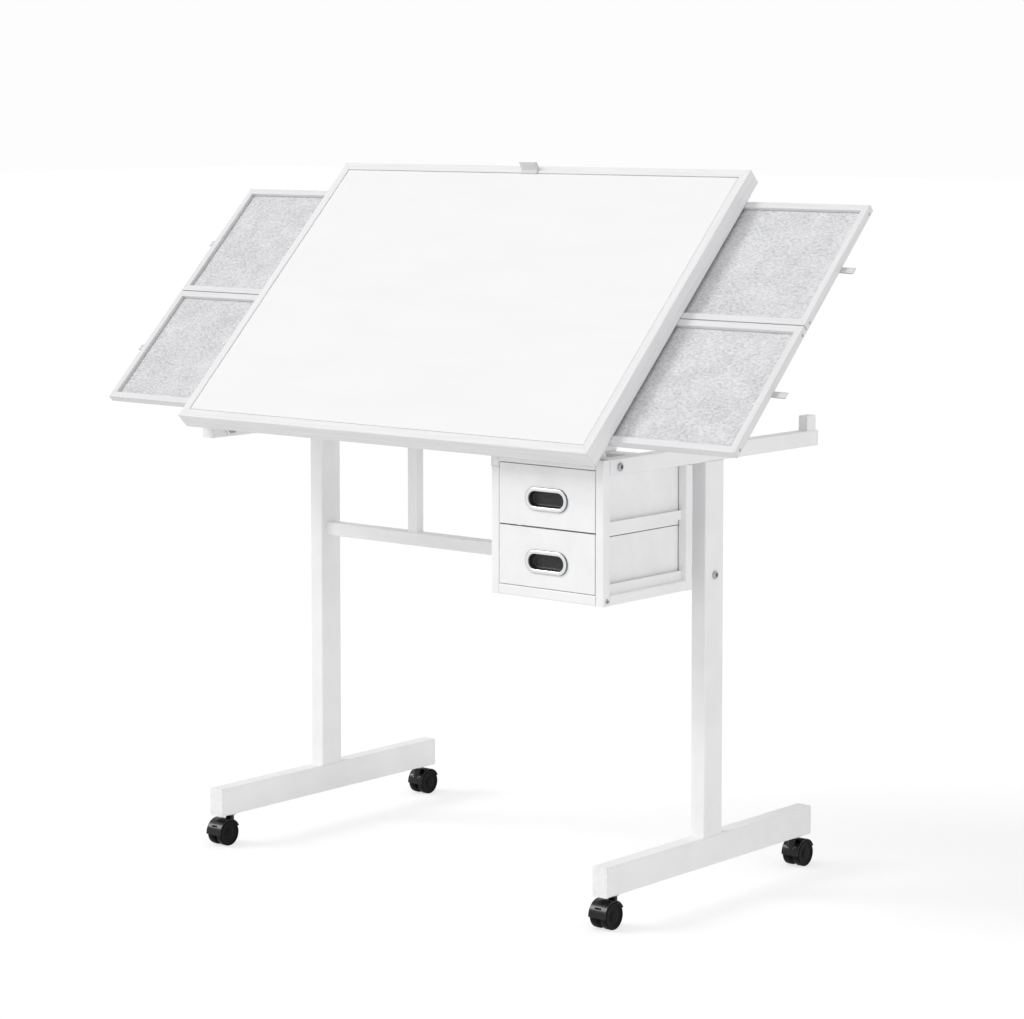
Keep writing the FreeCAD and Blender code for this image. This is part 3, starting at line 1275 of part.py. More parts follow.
def check():
    """Stops unless every object is up to date and every sub-part is a valid shape."""
    DOC.recompute()
    for item in DOC.Objects:
        if "Invalid" in item.State or "Error" in item.State:
            raise RuntimeError(f"{item.Name} failed: {item.State}")
    for piece in NODES:
        if piece.Shape.isNull() or not piece.Shape.isValid() or not piece.Shape.Solids:
            raise RuntimeError(f"{piece.Label} has no valid shape")


def write():
    """Writes each sub-part to its own file."""
    os.makedirs("parts", exist_ok=True)
    for piece in NODES:
        piece.Shape.exportStep(f"parts/{piece.Label}.step")
    print(f"{len(NODES)} sub-parts written")


SHEET = make_sheet()
make_layout()
build()
check()
write()
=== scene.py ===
"""Looks of a jigsaw puzzle table: tilting board, felt-lined trays, drawers and twin-wheel casters.

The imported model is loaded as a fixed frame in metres: X runs across the table, Y from front to back
and Z up. Sizes in this file are in millimetres unless a name ends in _m.
"""
from __future__ import annotations

import logging
import math
from dataclasses import dataclass
from enum import Enum
from typing import Any, Mapping, Sequence

import bmesh
import bpy
import numpy as np

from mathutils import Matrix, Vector


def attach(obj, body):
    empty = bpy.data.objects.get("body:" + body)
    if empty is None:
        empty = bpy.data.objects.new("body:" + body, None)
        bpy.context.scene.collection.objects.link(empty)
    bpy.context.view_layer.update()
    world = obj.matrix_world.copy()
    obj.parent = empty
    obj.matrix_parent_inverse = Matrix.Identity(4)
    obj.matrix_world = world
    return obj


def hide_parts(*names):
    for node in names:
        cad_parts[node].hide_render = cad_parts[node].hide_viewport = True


LOG = logging.getLogger("puzzle_table")
MM = 0.001
ARC_STEPS = 4  # points in each rounded corner
SPAN_STEPS = 6  # points between two places of a smooth path
SHEET_CREASE = 60.0  # degrees; bends of a soft sheet stay smooth below it

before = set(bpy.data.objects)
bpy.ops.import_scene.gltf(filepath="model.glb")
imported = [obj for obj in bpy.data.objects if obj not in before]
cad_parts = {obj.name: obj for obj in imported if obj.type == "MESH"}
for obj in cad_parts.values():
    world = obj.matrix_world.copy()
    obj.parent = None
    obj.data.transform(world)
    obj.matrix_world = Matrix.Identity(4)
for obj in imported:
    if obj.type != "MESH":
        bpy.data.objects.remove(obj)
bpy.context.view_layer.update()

Array = np.ndarray
Inputs = dict[str, Any]
Node = bpy.types.Node
Object = bpy.types.Object
Pairs = Sequence[tuple[float, float]]
Socket = bpy.types.NodeSocket
Triple = tuple[float, float, float]
Tree = bpy.types.NodeTree


class Side(Enum):
    """The two ends of the table, with the sign of X at each."""

    LEFT = -1
    RIGHT = 1

    @property
    def word(self) -> str:
        """The side's name as it stands in piece names."""
        return self.name.lower()


class Row(Enum):
    """The two rows of trays and of drawers."""

    LOWER = "lower"
    UPPER = "upper"


# ------------------------------------------------------------------ shapes


@dataclass
class Shell:
    """A surface as plain arrays, before it becomes a mesh.

    Attributes:
        points: places of the vertices in millimetres, one row each.
        faces: vertex numbers of each face.
        uv: place of each vertex on the flat cloth in millimetres, or None.
        run: 1 on strips along X and 0 on strips up the slope, per vertex, or None.
    """

    points: Array
    faces: list[list[int]]
    uv: Array | None = None
    run: Array | None = None

    def __add__(self, other: "Shell") -> "Shell":
        """Joins two surfaces, the second one's faces numbered on.

        Args:
            other: the second surface.

        Returns:
            Both in one.
        """
        start = len(self.points)
        faces = self.faces + [[start + i for i in f] for f in other.faces]
        return Shell(np.vstack([self.points, other.points]), faces)

    def moved(self, *shift: float) -> "Shell":
        """The same surface shifted by three millimetre values."""
        return Shell(self.points + np.array(shift), self.faces)

    def mirrored(self) -> "Shell":
        """The same surface with left and right exchanged."""
        return Shell(self.points * np.array([-1.0, 1.0, 1.0]), self.faces)


@dataclass(frozen=True)
class Area:
    """An oblong on the board: left and right in X, front and back in v, up the slope."""

    left: float
    right: float
    front: float
    back: float

    def inset(self, gap: float) -> "Area":
        """The oblong that lies this far inside."""
        return Area(self.left + gap, self.right - gap, self.front + gap, self.back - gap)

    @property
    def flat_m(self) -> tuple[float, float]:
        """Width and depth in metres."""
        return (self.right - self.left) * MM, (self.back - self.front) * MM


def join_axes(*parts: Array | float) -> Array:
    """Coordinates of matching shapes, stacked along a new last axis."""
    return np.stack(np.broadcast_arrays(*parts), axis=-1)


def turns(count: int) -> Array:
    """Angles in radians of evenly spaced places round a full turn."""
    return np.linspace(0, 2 * math.pi, count, endpoint=False)


def hexagon(angle: Array) -> Array:
    """Radius of a hexagon of half width 1: one over the cosine of the angle from its flat."""
    return 1 / np.cos(np.mod(angle, math.pi / 3) - math.pi / 6)


def grid_shell(
    points: Array, around: bool = False, caps: bool = False, uv: Array | None = None
) -> Shell:
    """Turns a grid of points into quads, each between four neighbouring grid points.

    Args:
        points: array (rows, columns, 3) in millimetres.
        around: whether the last column joins the first again.
        caps: whether the first and the last row are each closed with one face.
        uv: array (rows, columns, 2), the place of each point on the flat cloth.

    Returns:
        The surface.
    """
    rows, columns = points.shape[:2]
    number = np.arange(rows * columns).reshape(rows, columns)
    if around:
        number = np.hstack([number, number[:, :1]])
    corners = [number[:-1, :-1], number[:-1, 1:], number[1:, 1:], number[1:, :-1]]
    faces = np.stack(corners, axis=-1).reshape(-1, 4).tolist()
    if caps:
        faces.append(list(range(columns))[::-1])
        faces.append(list(range((rows - 1) * columns, rows * columns)))
    return Shell(points.reshape(-1, 3), faces, None if uv is None else uv.reshape(-1, 2))


def tube(points: Array) -> Shell:
    """A closed tube through rings of points, one ring in each row."""
    return grid_shell(points, around=True, caps=True)


def lathe(profile: Pairs, count: int) -> Shell:
    """Turns a profile round the X axis: a point (x, r) runs on the circle of radius r at x.

    Args:
        profile: pairs of place along X and radius; a radius of 0 closes the end in one point.
        count: points round the axis.

    Returns:
        The surface, open where the profile's ends aren't on the axis.
    """
    along, radius = np.array(profile, float).T[:, :, None]
    angle = turns(count)
    return grid_shell(join_axes(along, radius * np.cos(angle), radius * np.sin(angle)), around=True)


def rounded_outline(corners: Sequence[Triple]) -> Array:
    """Rounds a polygon's corners with arcs, each a rational quadratic between its two tangents.

    Args:
        corners: place of each corner and its radius.

    Returns:
        Array (points, 2) of the closed outline.
    """
    data = np.array(corners, float)
    corner, radius = data[:, :2], data[:, 2]
    before = np.roll(corner, 1, axis=0) - corner
    after = np.roll(corner, -1, axis=0) - corner
    before /= np.linalg.norm(before, axis=1, keepdims=True)
    after /= np.linalg.norm(after, axis=1, keepdims=True)
    half = np.arccos(np.clip((before * after).sum(1), -1, 1)) / 2
    reach = (radius / np.tan(half))[:, None]
    start, end = corner + before * reach, corner + after * reach
    t = np.linspace(0, 1, ARC_STEPS)[None, :, None]
    low, mid, high = (1 - t) ** 2, 2 * t * (1 - t) * np.sin(half)[:, None, None], t**2
    arcs = low * start[:, None] + mid * corner[:, None] + high * end[:, None]
    return (arcs / (low + mid + high)).reshape(-1, 2)


def smooth_path(points: Pairs) -> Array:
    """Carries a smooth line through points: each span is the Catmull-Rom cubic of its neighbours.

    Args:
        points: the places that the line goes through.

    Returns:
        Array (points, 2) along the line.
    """
    p = np.array(points, float)
    p = np.vstack([2 * p[0] - p[1], p, 2 * p[-1] - p[-2]])
    a, b, c, d = (p[i : len(p) - 3 + i, None] for i in range(4))
    t = np.linspace(0, 1, SPAN_STEPS, endpoint=False)[None, :, None]
    line = 0.5 * (
        2 * b + (c - a) * t + (2 * a - 5 * b + 4 * c - d) * t**2 + (3 * b - a - 3 * c + d) * t**3
    )
    return np.vstack([line.reshape(-1, 2), p[-2:-1]])


def stadium(length: float, height: float) -> Array:
    """Outline of two half circles joined by straight runs, round its centre.

    Args:
        length: size along the runs.
        height: size across them, twice the radius of the ends.

    Returns:
        Array (points, 2) of the closed outline, with as many points for every size.
    """
    radius, reach = height / 2, (length - height) / 2
    angle = np.linspace(-math.pi / 2, math.pi / 2, 32, endpoint=False)
    run = np.linspace(reach, -reach, 12, endpoint=False)
    right = join_axes(reach + radius * np.cos(angle), radius * np.sin(angle))
    top = join_axes(run, radius)
    return np.vstack([right, top, -right, -top])


def height_noise(x: Array, y: Array, size: float, seed: int) -> Array:
    """Gentle unevenness: the mean of twelve sine waves in seeded directions, about size long.

    Args:
        x: places across, in millimetres.
        y: places along, in millimetres.
        size: length of the waves in millimetres.
        seed: number that fixes directions and phases.

    Returns:
        Values from about -1 to 1.
    """
    dice = np.random.default_rng(seed)
    turn, phase = dice.uniform(0, 2 * math.pi, (2, 12))
    length = size * dice.uniform(0.6, 1.8, 12)
    way = x[..., None] * np.cos(turn) + y[..., None] * np.sin(turn)
    return np.sin(2 * math.pi * way / length + phase).mean(-1) * 2


def link_object(name: str, data: bpy.types.ID) -> Object:
    """Puts an object of this data into the scene.

    Args:
        name: name of the object.
        data: its mesh, lamp or camera.

    Returns:
        The object, at the origin.
    """
    made = bpy.data.objects.new(name, data)
    bpy.context.scene.collection.objects.link(made)
    return made


def clean_mesh(mesh: bpy.types.Mesh, merge: float, closed: bool = True) -> None:
    """Merges a mesh's doubles, turns a closed one's faces outwards and smooths it.

    Args:
        mesh: the mesh.
        merge: points closer than this are merged.
        closed: whether it is a closed shell.
    """
    build = bmesh.new()
    build.from_mesh(mesh)
    bmesh.ops.remove_doubles(build, verts=build.verts, dist=merge * MM)
    if closed:
        bmesh.ops.recalc_face_normals(build, faces=build.faces)
    build.to_mesh(mesh)
    build.free()
    mesh.shade_smooth()


def to_object(name: str, shell: Shell, sharp_angle: float = 40.0, closed: bool = True) -> Object:
    """Makes the mesh of a surface, with its doubles merged and its faces turned outwards.

    Args:
        name: name of the piece.
        shell: the surface in millimetres.
        sharp_angle: edges above this angle in degrees stay crisp.
        closed: whether the normals are worked out again, as on a closed shell.

    Returns:
        The object, at the origin.
    """
    mesh = bpy.data.meshes.new(name)
    mesh.from_pydata((shell.points * MM).tolist(), [], shell.faces)
    if shell.uv is not None:
        layer = mesh.uv_layers.new(name="cloth")
        corner = np.zeros(len(mesh.loops), np.int32)
        mesh.loops.foreach_get("vertex_index", corner)
        layer.data.foreach_set("uv", (shell.uv[corner] * MM).astype(np.float32).ravel())
    if shell.run is not None:
        mesh.attributes.new("run", "FLOAT", "POINT").data.foreach_set("value", shell.run)
    clean_mesh(mesh, 0.001, closed)
    mesh.set_sharp_from_angle(angle=math.radians(sharp_angle))
    return link_object(name, mesh)


def rounded_copy(node: str, name: str, width: float, sharp_angle: float = 30.0) -> Object:
    """Copies a CAD node as a merged mesh and rounds its edges.

    Args:
        node: name of the CAD node that the copy stands for.
        name: name of the new piece.
        width: width of the rounding in millimetres.
        sharp_angle: only edges above this angle in degrees are rounded.

    Returns:
        The new piece.
    """
    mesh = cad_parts[node].data.copy()
    mesh.name = name
    mesh.materials.clear()
    clean_mesh(mesh, 0.002)
    piece = link_object(name, mesh)
    bevel = piece.modifiers.new("edge", "BEVEL")
    bevel.width, bevel.segments = width * MM, 2
    bevel.limit_method, bevel.angle_limit = "ANGLE", math.radians(sharp_angle)
    return even_shading(piece)


def even_shading(piece: Object) -> Object:
    """Keeps flat faces flat to the eye where rounded edges meet them.

    Args:
        piece: the piece, which gets a live modifier.

    Returns:
        The same piece.
    """
    shading = piece.modifiers.new("shading", "WEIGHTED_NORMAL")
    shading.mode, shading.weight, shading.keep_sharp = "FACE_AREA", 100, True
    return piece


def thicken(piece: Object, thick: float, offset: float) -> None:
    """Gives an open sheet its thickness with a live Solidify.

    Args:
        piece: the open sheet.
        thick: thickness in millimetres.
        offset: -1 puts it behind the faces, 0 on both sides.
    """
    wall = piece.modifiers.new("thickness", "SOLIDIFY")
    wall.thickness, wall.offset = thick * MM, offset
    wall.use_even_offset = False


# ------------------------------------------------------------------ materials


def linear(colour: str) -> tuple[float, float, float, float]:
    """Turns an sRGB hex colour into a linear one.

    Args:
        colour: such as #F3F3F4.

    Returns:
        Red, green, blue and alpha.
    """
    parts = np.array([int(colour[i : i + 2], 16) for i in (1, 3, 5)]) / 255
    light = np.where(parts <= 0.04045, parts / 12.92, ((parts + 0.055) / 1.055) ** 2.4)
    return (*light.tolist(), 1.0)


def per_metre(millimetres: float) -> float:
    """Scale of a pattern whose features are this many millimetres apart."""
    return 1000.0 / millimetres


def add_node(
    tree: Tree,
    kind: str,
    settings: Inputs | None = None,
    links: Mapping[str | int, Socket] | None = None,
    name: str | None = None,
) -> Node:
    """Adds a node with its settings and links.

    Args:
        tree: node tree that the node goes into.
        kind: Blender's name for the kind of node, without ShaderNode.
        settings: values by property name, or by input name with a leading colon.
        links: output sockets by the name or number of the input that they feed.
        name: name to find the node by.

    Returns:
        The new node.
    """
    node = tree.nodes.new("ShaderNode" + kind)
    if name:
        node.name = name
    for key, value in (settings or {}).items():
        if key.startswith(":"):
            place = key[1:]
            node.inputs[int(place) if place.isdigit() else place].default_value = value
        else:
            setattr(node, key, value)
    for key, socket in (links or {}).items():
        tree.links.new(socket, node.inputs[key])
    return node


def empty_tree(owner: bpy.types.Material | bpy.types.World) -> Tree:
    """Switches a material or world to nodes.

    Args:
        owner: the material or world.

    Returns:
        Its node tree, emptied.
    """
    owner.use_nodes = True
    owner.node_tree.nodes.clear()
    return owner.node_tree


def add_ramp(tree: Tree, source: Socket, stops: Sequence[tuple[float, str]]) -> Socket:
    """Colours a grey value by a ramp of hex colours.

    Args:
        tree: node tree that the ramp goes into.
        source: the grey value.
        stops: place from 0 to 1 and colour of each stop.

    Returns:
        The colour socket.
    """
    node = add_node(tree, "ValToRGB", links={"Fac": source})
    band = node.color_ramp
    while len(band.elements) < len(stops):
        band.elements.new(0.5)
    for element, (place, colour) in zip(band.elements, stops):
        element.position, element.color = place, linear(colour)
    return node.outputs["Color"]


def object_place(tree: Tree) -> Socket:
    """Object coordinates of the surface, in metres."""
    return add_node(tree, "TexCoord").outputs["Object"]


def attribute(tree: Tree, name: str) -> Socket:
    """The mesh's own values of this name."""
    return add_node(tree, "Attribute", {"attribute_name": name}).outputs["Fac"]


def maths(
    tree: Tree, operation: str, links: Mapping[int, Socket], settings: Inputs | None = None
) -> Socket:
    """One sum on grey values.

    Args:
        tree: node tree that the step goes into.
        operation: Blender's name for the sum.
        links: the values by the number of their input.
        settings: further settings, as in add_node.

    Returns:
        The result.
    """
    wanted = {"operation": operation, **(settings or {})}
    return add_node(tree, "Math", wanted, links).outputs["Value"]


def mapped(
    tree: Tree, place: Socket, turn: Triple = (0, 0, 0), scale: Triple = (1, 1, 1),
    kind: str = "POINT",
) -> Socket:
    """Turns and stretches coordinates.

    Args:
        tree: node tree that the step goes into.
        place: the coordinates.
        turn: turn about each axis in degrees.
        scale: scale along each axis.
        kind: POINT multiplies by the scale, TEXTURE stretches the pattern by it.

    Returns:
        The new coordinates.
    """
    radians = tuple(math.radians(angle) for angle in turn)
    settings = {"vector_type": kind, ":Rotation": radians, ":Scale": scale}
    return add_node(tree, "Mapping", settings, {"Vector": place}).outputs["Vector"]


def noise(
    tree: Tree, place: Socket, size: float, detail: float = 2.0, rough: float = 0.5
) -> Socket:
    """Cloudy grey pattern.

    Args:
        tree: node tree that the pattern goes into.
        place: coordinates in metres.
        size: distance between its clouds in millimetres.
        detail: finer layers on top.
        rough: how strong those are.

    Returns:
        The grey value, from 0 to 1.
    """
    settings = {":Scale": per_metre(size), ":Detail": detail, ":Roughness": rough}
    return add_node(tree, "TexNoise", settings, {"Vector": place}).outputs["Fac"]


def spread(
    tree: Tree, source: Socket, low: float, high: float, start: float = 0.3, end: float = 0.7
) -> Socket:
    """Maps a grey value to a range.

    Args:
        tree: node tree that the step goes into.
        source: the grey value.
        low: result at start.
        high: result at end.
        start: grey value that gives low.
        end: grey value that gives high.

    Returns:
        The mapped value.
    """
    settings = {":From Min": start, ":From Max": end, ":To Min": low, ":To Max": high}
    return add_node(tree, "MapRange", settings, {"Value": source}).outputs["Result"]


def bump(tree: Tree, height: Socket, depth: float, strength: float = 1.0) -> Socket:
    """Relief from a grey value.

    Args:
        tree: node tree that the step goes into.
        height: the grey value.
        depth: height in millimetres of a full step from 0 to 1.
        strength: share of the relief that shows.

    Returns:
        The normal socket.
    """
    settings = {":Distance": depth * MM, ":Strength": strength}
    return add_node(tree, "Bump", settings, {"Height": height}).outputs["Normal"]


@dataclass(frozen=True)
class Finish:
    """What every finish shares.

    Attributes:
        name: name of the material.
        slot: the record's material slot that it belongs to.
    """

    name: str
    slot: str

    def build(self) -> bpy.types.Material:
        """Makes the material the first time, and shares it after that.

        Returns:
            The material, its sockets linked and its uniform numbers set on the shader itself.
        """
        ready = bpy.data.materials.get(self.name)
        if ready is not None:
            return ready
        material = bpy.data.materials.new(self.name)
        tree = empty_tree(material)
        shader = add_node(tree, "BsdfPrincipled", name="surface")
        add_node(tree, "OutputMaterial", links={"Surface": shader.outputs["BSDF"]})
        for key, value in self.surface(tree).items():
            if isinstance(value, Socket):
                tree.links.new(value, shader.inputs[key])
            else:
                shader.inputs[key].default_value = value
        return material

    def surface(self, tree: Tree) -> Inputs:
        """What goes into the shader, by the name of its input; each finish has its own."""
        raise NotImplementedError


@dataclass(frozen=True)
class CloudedSkin(Finish):
    """A skin whose tone and gloss drift with one soft pattern, over a fine relief.

    Attributes:
        colour: the skin's colour.
        shade: its darker tone.
        stops: grey values of the pattern that give shade and colour.
        cloud_mm: distance between the pattern's clouds.
        cloud_detail: finer layers on the clouds.
        cloud_rough: how strong those are.
        roughness: roughness at the low and the high end of the span.
        span: grey values of the pattern at those ends.
        grain_mm: distance between the relief's grains.
        grain_detail: finer layers on the grains.
        grain_depth: the relief's depth in millimetres.
        ior: index of refraction.
        specular: how strongly the skin reflects; 0.5 is a clean plastic.
    """

    colour: str = "#F3F3F4"
    shade: str = "#EFEFF0"
    stops: tuple[float, float] = (0.35, 0.6)
    cloud_mm: float = 70.0
    cloud_detail: float = 3.0
    cloud_rough: float = 0.5
    roughness: tuple[float, float] = (0.5, 0.42)
    span: tuple[float, float] = (0.3, 0.7)
    grain_mm: float = 2.4
    grain_detail: float = 2.0
    grain_depth: float = 0.03
    ior: float = 1.5
    specular: float = 0.25

    def pattern(self, tree: Tree, place: Socket) -> Socket:
        """The clouds that tone and gloss follow."""
        return noise(tree, place, self.cloud_mm, self.cloud_detail, self.cloud_rough)

    def relief(self, tree: Tree, place: Socket, pattern: Socket) -> Socket:
        """The height of the surface; a plain skin has its own fine grain."""
        return noise(tree, place, self.grain_mm, self.grain_detail)

    def surface(self, tree: Tree) -> Inputs:
        """Colour and roughness follow the pattern, the normal follows the relief.

        Args:
            tree: the material's node tree.

        Returns:
            What goes into the shader, by the name of its input.
        """
        place = object_place(tree)
        pattern = self.pattern(tree, place)
        tones = list(zip(self.stops, (self.shade, self.colour)))
        return {
            "Base Color": add_ramp(tree, pattern, tones),
            "Roughness": spread(tree, pattern, *self.roughness, *self.span),
            "Normal": bump(tree, self.relief(tree, place, pattern), self.grain_depth),
            "IOR": self.ior,
            "Specular IOR Level": self.specular,
        }


@dataclass(frozen=True)
class PowderCoat(CloudedSkin):
    """White polyester powder coat baked on steel: a satin skin with a faint orange peel.

    The peel is a real 1 mm, drawn at 2.4 mm so that it shows; film thickness gives the clouds.
    """


@dataclass(frozen=True)
class FoilBoard(CloudedSkin):
    """Fibreboard wrapped in white melamine foil: flat, satin, with soft rub marks.

    The pressed stipple is drawn at 1.4 mm, so that it shows, and only 0.012 mm deep.
    """

    colour: str = "#F3F3F3"
    shade: str = "#EEEEEF"
    stops: tuple[float, float] = (0.32, 0.62)
    cloud_mm: float = 45.0
    cloud_detail: float = 4.0
    cloud_rough: float = 0.6
    roughness: tuple[float, float] = (0.5, 0.38)
    grain_mm: float = 1.4
    grain_detail: float = 1.0
    grain_depth: float = 0.012


@dataclass(frozen=True)
class LinedPaint(CloudedSkin):
    """White satin paint on strip stock: rolling or planing left faint lines along each strip.

    The real lines are 1 mm apart; they are drawn 4 mm apart so that they show, 30 times as long.
    """

    stops: tuple[float, float] = (0.34, 0.66)
    cloud_mm: float = 4.0
    grain_depth: float = 0.02
    stretch: float = 30.0

    def pattern(self, tree: Tree, place: Socket) -> Socket:
        """Lines along each strip; the run attribute tells those along X from those up the slope.

        Args:
            tree: the material's node tree.
            place: coordinates in metres.

        Returns:
            The lines' grey value.
        """
        upward = mapped(tree, place, (45, 0, 0), (1, self.stretch, 1), "TEXTURE")
        along = mapped(tree, place, scale=(self.stretch, 1, 1), kind="TEXTURE")
        lines = [noise(tree, way, self.cloud_mm, self.cloud_detail) for way in (upward, along)]
        links = {0: attribute(tree, "run"), 2: lines[0], 3: lines[1]}
        return add_node(tree, "Mix", {"data_type": "FLOAT"}, links).outputs[0]

    def relief(self, tree: Tree, place: Socket, pattern: Socket) -> Socket:
        """The lines themselves."""
        return pattern


@dataclass(frozen=True)
class CoverSheet(CloudedSkin):
    """Lacquered hardboard sheet: the brightest face, smooth, with faint wiping marks.

    The marks are clouds 60 mm apart and four times as long, as a cloth leaves them.
    """

    colour: str = "#F0F0F0"
    shade: str = "#EEEEEF"
    stops: tuple[float, float] = (0.3, 0.6)
    cloud_mm: float = 60.0
    cloud_detail: float = 4.0
    cloud_rough: float = 0.55
    roughness: tuple[float, float] = (0.6, 0.52)
    grain_mm: float = 6.0
    grain_depth: float = 0.01
    ior: float = 1.48
    specular: float = 0.12

    def pattern(self, tree: Tree, place: Socket) -> Socket:
        """Clouds that lie in the board's slope."""
        return super().pattern(tree, mapped(tree, place, (45, 0, 0), (0.25, 1, 1)))


@dataclass(frozen=True)
class MouldedWhite(CloudedSkin):
    """White polyethylene, injection moulded with a spark-eroded texture: soft and matt.

    The eroded texture is drawn at 1.6 mm so that it shows; flow in the mould gives 12 mm clouds.
    """

    colour: str = "#EFEFEF"
    shade: str = "#E8E8E9"
    cloud_mm: float = 12.0
    cloud_detail: float = 2.0
    roughness: tuple[float, float] = (0.6, 0.48)
    grain_mm: float = 1.6
    grain_detail: float = 1.0
    grain_depth: float = 0.02
    ior: float = 1.51
    specular: float = 0.5


@dataclass(frozen=True)
class BlackMoulding(CloudedSkin):
    """Black nylon or polypropylene, injection moulded: deep black, glossy or satin by its mould.

    Scuffs are broken clouds 6 mm apart and take the colour; the plastic is the shade. The mould's
    grain is drawn at 1.2 mm so that it shows.
    """

    stops: tuple[float, float] = (0.45, 0.72)
    cloud_mm: float = 6.0
    cloud_detail: float = 5.0
    cloud_rough: float = 0.65
    span: tuple[float, float] = (0.35, 0.7)
    grain_mm: float = 1.2
    grain_detail: float = 1.0
    grain_depth: float = 0.015


@dataclass(frozen=True)
class NeedleFelt(Finish):
    """Needle-punched polyester felt: mottled light grey from blended pale and dark fibres.

    A fibre is a real 0.03 mm, far too fine to show, so bundles of them are drawn 1.9 mm apart.
    """

    dark: str = "#B8B8BC"
    middle: str = "#D5D5D8"
    pale: str = "#E9E9EB"
    tuft_mm: float = 3.6
    fibre_mm: float = 1.9
    cloud_mm: float = 38.0

    def surface(self, tree: Tree) -> Inputs:
        """Tufts 3.6 mm apart, pulled longer across the table, with loose fibres and clouds.

        Args:
            tree: the material's node tree.

        Returns:
            What goes into the shader, by the name of its input.
        """
        place = object_place(tree)
        pulled = mapped(tree, place, (0, 0, 10), (0.62, 1, 1))
        tufts = noise(tree, pulled, self.tuft_mm, 2, 0.55)
        fibres = noise(tree, place, self.fibre_mm, 2, 0.6)
        mix = add_node(tree, "Mix", {":Factor": 0.38}, {"A": tufts, "B": fibres})
        mixed = mix.outputs["Result"]
        links = {0: noise(tree, place, self.cloud_mm, 2), 2: mixed}
        shifted = maths(tree, "MULTIPLY_ADD", links, {":1": 0.22})
        tones = [(0.42, self.dark), (0.6, self.middle), (0.78, self.pale)]
        return {
            "Base Color": add_ramp(tree, shifted, tones),
            "Roughness": 1.0,
            "Sheen Weight": 0.25,
            "Sheen Roughness": 0.5,
            "Specular IOR Level": 0.15,
            "Normal": bump(tree, mixed, 0.8, 0.6),
        }


@dataclass(frozen=True)
class TwillRibbon(Finish):
    """Woven polyester twill tape: pale grey with fine slanting ribs and darker selvedges.

    The ribs are 0.6 mm apart on the real tape. They are drawn 3 mm apart, each 1.5 mm wide, so
    that they show.
    """

    colour: str = "#DEDCDD"
    shade: str = "#C6C4C6"
    rib_mm: float = 1.5
    half_width_mm: float = 6.0

    def surface(self, tree: Tree) -> Inputs:
        """Ribs slant over the cloth's own UV, whose X is the distance from the tape's middle.

        Args:
            tree: the material's node tree.

        Returns:
            What goes into the shader, by the name of its input.
        """
        cloth = add_node(tree, "UVMap", {"uv_map": "cloth"}).outputs["UV"]
        # Bands of scale 1 are 0.31 m apart, light and dark, so a rib is about rib_mm wide.
        wave = {
            "wave_type": "BANDS", ":Scale": per_metre(self.rib_mm) / 3.14 / 2,
            ":Distortion": 0.6, ":Detail": 1.0, ":Detail Scale": 2.0,
        }
        slant = {"Vector": mapped(tree, cloth, (0, 0, 40))}
        ribs = add_node(tree, "TexWave", wave, slant).outputs["Fac"]
        across = add_node(tree, "SeparateXYZ", links={"Vector": cloth}).outputs["X"]
        edge = maths(tree, "ABSOLUTE", {0: across})
        rim = ((self.half_width_mm - gap) * MM for gap in (1.4, 0.6))
        selvedge = spread(tree, edge, 0.0, 0.5, *rim)
        tone = maths(tree, "SUBTRACT", {0: ribs, 1: selvedge}, {"use_clamp": True})
        return {
            "Base Color": add_ramp(tree, tone, [(0.0, self.shade), (0.7, self.colour)]),
            "Roughness": 0.75,
            "Sheen Weight": 0.15,
            "Normal": bump(tree, ribs, 0.25, 0.7),
        }


@dataclass(frozen=True)
class PolishedChrome(Finish):
    """Chromed and buffed zinc casting: bright, with faint buffing waves 9 to 12 mm long.

    Bright on the crown; towards the foot the colour darkens as a painted reflection, and the foot is
    duller.
    """

    # Colours from the foot to the crown: the dark foot is a painted reflection.
    tones: tuple[tuple[float, str], ...] = (
        (0.08, "#737579"), (0.35, "#A4A6A9"), (0.7, "#D6D7D9"), (1.0, "#E4E5E7")
    )

    def surface(self, tree: Tree) -> Inputs:
        """The crown attribute tells the crown from the foot, which the ramp paints darker as a
        reflection.

        Args:
            tree: the material's node tree.

        Returns:
            What goes into the shader, by the name of its input.
        """
        place = object_place(tree)
        links = {0: noise(tree, place, 9, 3), 2: attribute(tree, "crown")}
        # Buffing waves added to the crown mask; the mask drives the painted reflection at the foot.
        waves_and_painted_reflection = maths(tree, "MULTIPLY_ADD", links, {":1": 0.12})
        return {
            "Metallic": 1.0,
            "Base Color": add_ramp(tree, waves_and_painted_reflection, self.tones),
            "Roughness": spread(tree, waves_and_painted_reflection, 0.44, 0.3, 0.2, 0.9),
            "Normal": bump(tree, noise(tree, place, 12, 1), 0.01, 0.15),
        }


@dataclass(frozen=True)
class ZincPlate(Finish):
    """Bright zinc on turned steel: a cool grey metal with small crystals and dull patches."""

    colour: str = "#B9BBBE"
    shade: str = "#9B9DA1"
    crystal_mm: float = 1.8
    patch_mm: float = 7.0

    def surface(self, tree: Tree) -> Inputs:
        """Crystals are cells 1.8 mm wide; turning leaves the sheen a little rough.

        Args:
            tree: the material's node tree.

        Returns:
            What goes into the shader, by the name of its input.
        """
        place = object_place(tree)
        scale = {":Scale": per_metre(self.crystal_mm)}
        cells = add_node(tree, "TexVoronoi", scale, {"Vector": place}).outputs["Distance"]
        tones = [(0.35, self.shade), (0.62, self.colour)]
        return {
            "Metallic": 1.0,
            "Base Color": add_ramp(tree, noise(tree, place, self.patch_mm, 3), tones),
            "Roughness": spread(tree, cells, 0.3, 0.42, 0.1, 0.8),
            "Normal": bump(tree, cells, 0.02, 0.5),
        }


